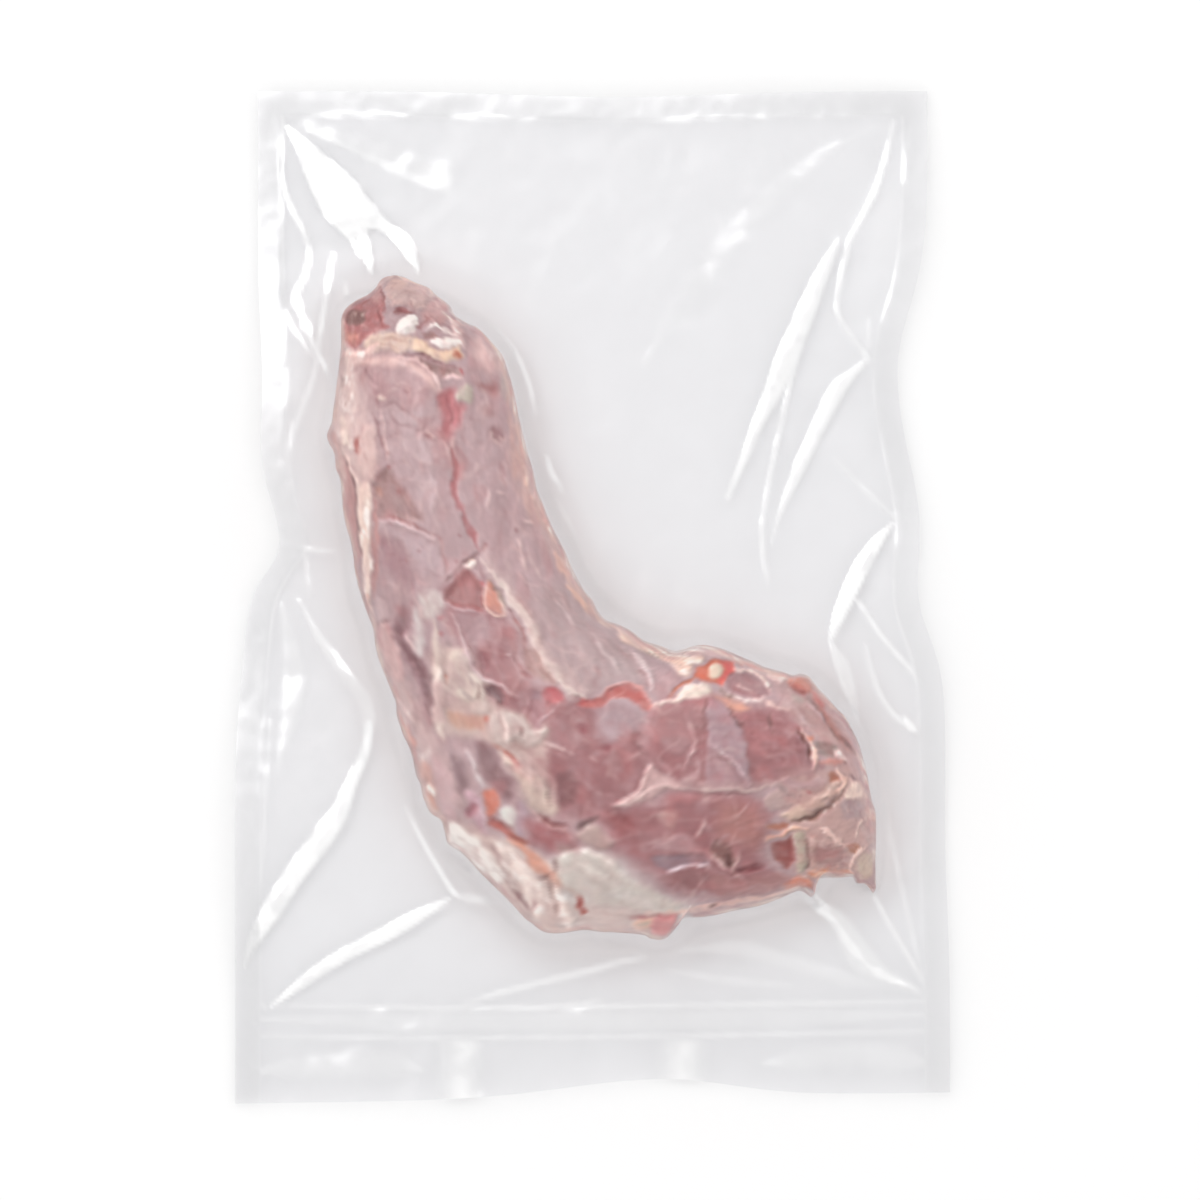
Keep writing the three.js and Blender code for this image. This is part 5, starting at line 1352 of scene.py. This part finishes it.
only(bag)
bpy.ops.object.mode_set(mode="EDIT")
bpy.ops.mesh.select_mode(type="VERT")
bpy.ops.mesh.select_all(action="SELECT")
bpy.ops.mesh.region_to_loop()
for ring in range(RINGS):
    bpy.ops.mesh.extrude_edges_move()
    mesh = bmesh.from_edit_mesh(bag.data)
    for v in [v for v in mesh.verts if v.select]:
        x, y, z = (value / MM for value in v.co)
        if ring == 0:
            z -= FILM_GAP
        else:
            step = 1 / (RINGS - ring + 1.2)
            middle_x, middle_y = x * (1 - UNDER_INSET), y * (1 - UNDER_INSET)
            x, y = x + (middle_x - x) * step * 0.6, y + (middle_y - y) * step * 0.6
            z = max(0, z * (1 - 1 / (RINGS - ring)))
        v.co = (x * MM, y * MM, z * MM)
    bmesh.update_edit_mesh(bag.data)
bpy.ops.mesh.edge_face_add()
bpy.ops.mesh.select_all(action="SELECT")
bpy.ops.mesh.normals_make_consistent(inside=False)
bpy.ops.object.mode_set(mode="OBJECT")
bpy.ops.object.shade_smooth_by_angle(angle=math.radians(60))
for name, painted in (("sheen", cloud_and_sheen), ("weld", welded), ("dull", dull)):
    values = np.zeros(len(bag.data.vertices), np.float32)
    values[:len(painted)] = painted
    bag.data.attributes.new(name, "FLOAT", "POINT").data.foreach_set("value", values)
print("film", len(bag.data.vertices), "vertices", len(bag.data.polygons), "faces")

# %% [markdown]
# ## Shader sums
# Blender's materials are webs of nodes. Two small classes let them be written as ordinary sums: a Value
# wraps one socket, and adding or multiplying it makes the Math node for that.

# %% Shader sums
class Value:
    """A socket that can be used in sums."""

    def __init__(self, shader, socket):
        self.shader, self.socket = shader, socket

    def __add__(self, other):
        return self.shader.maths("ADD", self, other)

    def __mul__(self, other):
        return self.shader.maths("MULTIPLY", self, other)

    __radd__, __rmul__ = __add__, __mul__


class Shader:
    """A material, with one method that makes any node."""

    def __init__(self, name):
        self.material = bpy.data.materials.new(name)
        self.material.use_nodes = True
        self.tree = self.material.node_tree
        self.tree.nodes.clear()

    def node(self, kind, settings=None, inputs=None, output=0):
        made = self.tree.nodes.new(kind)
        for key, value in (settings or {}).items():
            setattr(made, key, value)
        for key, value in (inputs or {}).items():
            if isinstance(value, Value):
                self.tree.links.new(value.socket, made.inputs[key])
            else:
                made.inputs[key].default_value = value
        return Value(self, made.outputs[output]) if made.outputs else None

    def maths(self, operation, *values):
        return self.node("ShaderNodeMath", {"operation": operation}, dict(enumerate(values)))

    def mix(self, factor, a, b):
        return self.node("ShaderNodeMix", {"data_type": "RGBA"}, {0: factor, 6: a, 7: b}, output=2)

    def noise(self, place, scale, detail=3.0, **more):
        inputs = {"Vector": place, "Scale": scale, "Detail": detail, **more}
        return self.node("ShaderNodeTexNoise", None, inputs)

    def bump(self, height, strength, distance):
        inputs = {"Height": height, "Strength": strength, "Distance": distance}
        return self.node("ShaderNodeBump", None, inputs)


print("shader helpers ready")

# %% [markdown]
# ## Wet meat
# The painted flesh colour is broken up by two sizes of fine noise. The coarser one also makes the gloss
# uneven, as juice under the film does, and both together give a small bump.

# %% Wet meat
wet = Shader("raw_neck")
place_in = wet.node("ShaderNodeTexCoord", output=3)
painted = wet.node("ShaderNodeAttribute", {"attribute_name": "flesh"})
fine = wet.noise(place_in, 900.0, 1.0)
coarse = wet.noise(place_in, 260.0, 2.0)
shade = 0.93 + 0.05 * fine + 0.1 * coarse
toned = wet.node("ShaderNodeVectorMath", {"operation": "SCALE"}, {0: painted, "Scale": shade})
grain = wet.bump(fine * 0.3 + coarse, 0.16, 0.0005)
skin = wet.node("ShaderNodeBsdfPrincipled", None, {
    "Base Color": toned, "Roughness": 0.34 + 0.2 * coarse, "IOR": 1.38, "Normal": grain})
wet.node("ShaderNodeOutputMaterial", None, {"Surface": skin})
meat.data.materials.append(wet.material)
print("meat material has", len(wet.tree.nodes), "nodes")

# %% [markdown]
# ## Clear film
# Film is nearly nothing: it lets most light through and mirrors a little at grazing angles. The painted
# sheen makes it mirror more in folds and welds, and on the tent beside the meat. Towards the flap a second,
# slightly greyer clear shader takes over, which is mixed in by its own painted amount. Tiny wrinkles come
# from a bump.

# %% Clear film
skin_film = Shader("clear_film")
at = skin_film.node("ShaderNodeTexCoord", output=3)
painted_sheen = skin_film.node("ShaderNodeAttribute", {"attribute_name": "sheen"}, output=2)
crinkle = skin_film.noise(at, 90.0, 1.0)
wrinkles = skin_film.bump(crinkle, 0.35, 0.0012)
edge_on = skin_film.node("ShaderNodeFresnel", None, {"IOR": 1.4})
painted_dull = skin_film.node("ShaderNodeAttribute", {"attribute_name": "dull"}, output=2)
clear_part = skin_film.node("ShaderNodeBsdfTransparent", None, {"Color": (0.972, 0.971, 0.977, 1)})
dull_part = skin_film.node("ShaderNodeBsdfTransparent", None, {"Color": (0.937, 0.936, 0.942, 1)})
through = skin_film.node("ShaderNodeMixShader", None, {0: painted_dull, 1: clear_part, 2: dull_part})
painted_weld = skin_film.node("ShaderNodeAttribute", {"attribute_name": "weld"}, output=2)
glint = skin_film.mix(painted_weld, (0.99, 0.99, 0.99, 1), (0.8, 0.8, 0.805, 1))
mirror = skin_film.node("ShaderNodeBsdfPrincipled", None, {
    "Base Color": glint, "Metallic": 1.0, "Roughness": 0.22, "Normal": wrinkles})
amount = skin_film.maths("MINIMUM", edge_on * 0.7 + painted_sheen, 1.0)
both = skin_film.node("ShaderNodeMixShader", None, {0: amount, 1: through, 2: mirror})
skin_film.node("ShaderNodeOutputMaterial", None, {"Surface": both})
bag.data.materials.append(skin_film.material)
print("film material has", len(skin_film.tree.nodes), "nodes")

# %% [markdown]
# ## Table, light and camera
# A white table that glows softly, like a light table, one square softbox at the upper left, and white
# surroundings, as in a product photo. The camera looks straight down from far off through a long lens, so
# that the pack isn't distorted.

# %% Table, light and camera
FRAME_WIDTH = 420 * MM            # what the picture shows from side to side
TABLE_SIZE, TABLE_DROP = 6, 0.0002    # the table lies a hair below the film, m

bpy.ops.mesh.primitive_plane_add(size=TABLE_SIZE)
table = bpy.context.object
table.name = "table"
table.location.z = -TABLE_DROP
paper = Shader("table_paper")
paper_grain = paper.noise(paper.node("ShaderNodeTexCoord", output=3), 40.0)
paper_skin = paper.node("ShaderNodeBsdfPrincipled", None, {
    "Base Color": (0.6, 0.6, 0.6, 1), "Roughness": 0.85 + 0.1 * paper_grain, "Specular IOR Level": 0.1,
    "Emission Color": (1, 1, 1, 1), "Emission Strength": 0.32})
paper.node("ShaderNodeOutputMaterial", None, {"Surface": paper_skin})
table.data.materials.append(paper.material)

world = bpy.data.worlds.new("studio")
world.use_nodes = True
world.node_tree.nodes["Background"].inputs["Color"].default_value = (0.99, 0.985, 0.985, 1)
world.node_tree.nodes["Background"].inputs["Strength"].default_value = 1.02
bpy.context.scene.world = world


def softbox(name, place, size, power):
    lamp = bpy.data.lights.new(name, "AREA")
    lamp.shape, lamp.size, lamp.energy = "SQUARE", size, power
    holder = bpy.data.objects.new(name, lamp)
    bpy.context.scene.collection.objects.link(holder)
    holder.location = place
    holder.rotation_euler = (-Vector(place)).to_track_quat("-Z", "Y").to_euler()


softbox("key", (-0.45, 0.6, 1.6), 0.8, 6)

lens = bpy.data.cameras.new("camera")
lens.lens = lens.sensor_width * CAMERA_HEIGHT * MM / FRAME_WIDTH
lens.clip_end = 20
camera = bpy.data.objects.new("camera", lens)
bpy.context.scene.collection.objects.link(camera)
camera.location = [value * MM for value in (*PICTURE_CENTRE, CAMERA_HEIGHT)]
bpy.context.scene.camera = camera
bpy.context.scene.view_settings.view_transform = "Standard"
print("camera lens", round(lens.lens), "mm")

# %% [markdown]
# ## Tying it to the frame
# Both pieces stand in for the one CAD solid and move with it. The table is only the set.

# %% Tying it to the frame
for piece, finish_slot in ((meat, "raw_neck"), (bag, "clear_film")):
    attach(piece, "root")
    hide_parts("sealed_pack")
bpy.context.view_layer.update()
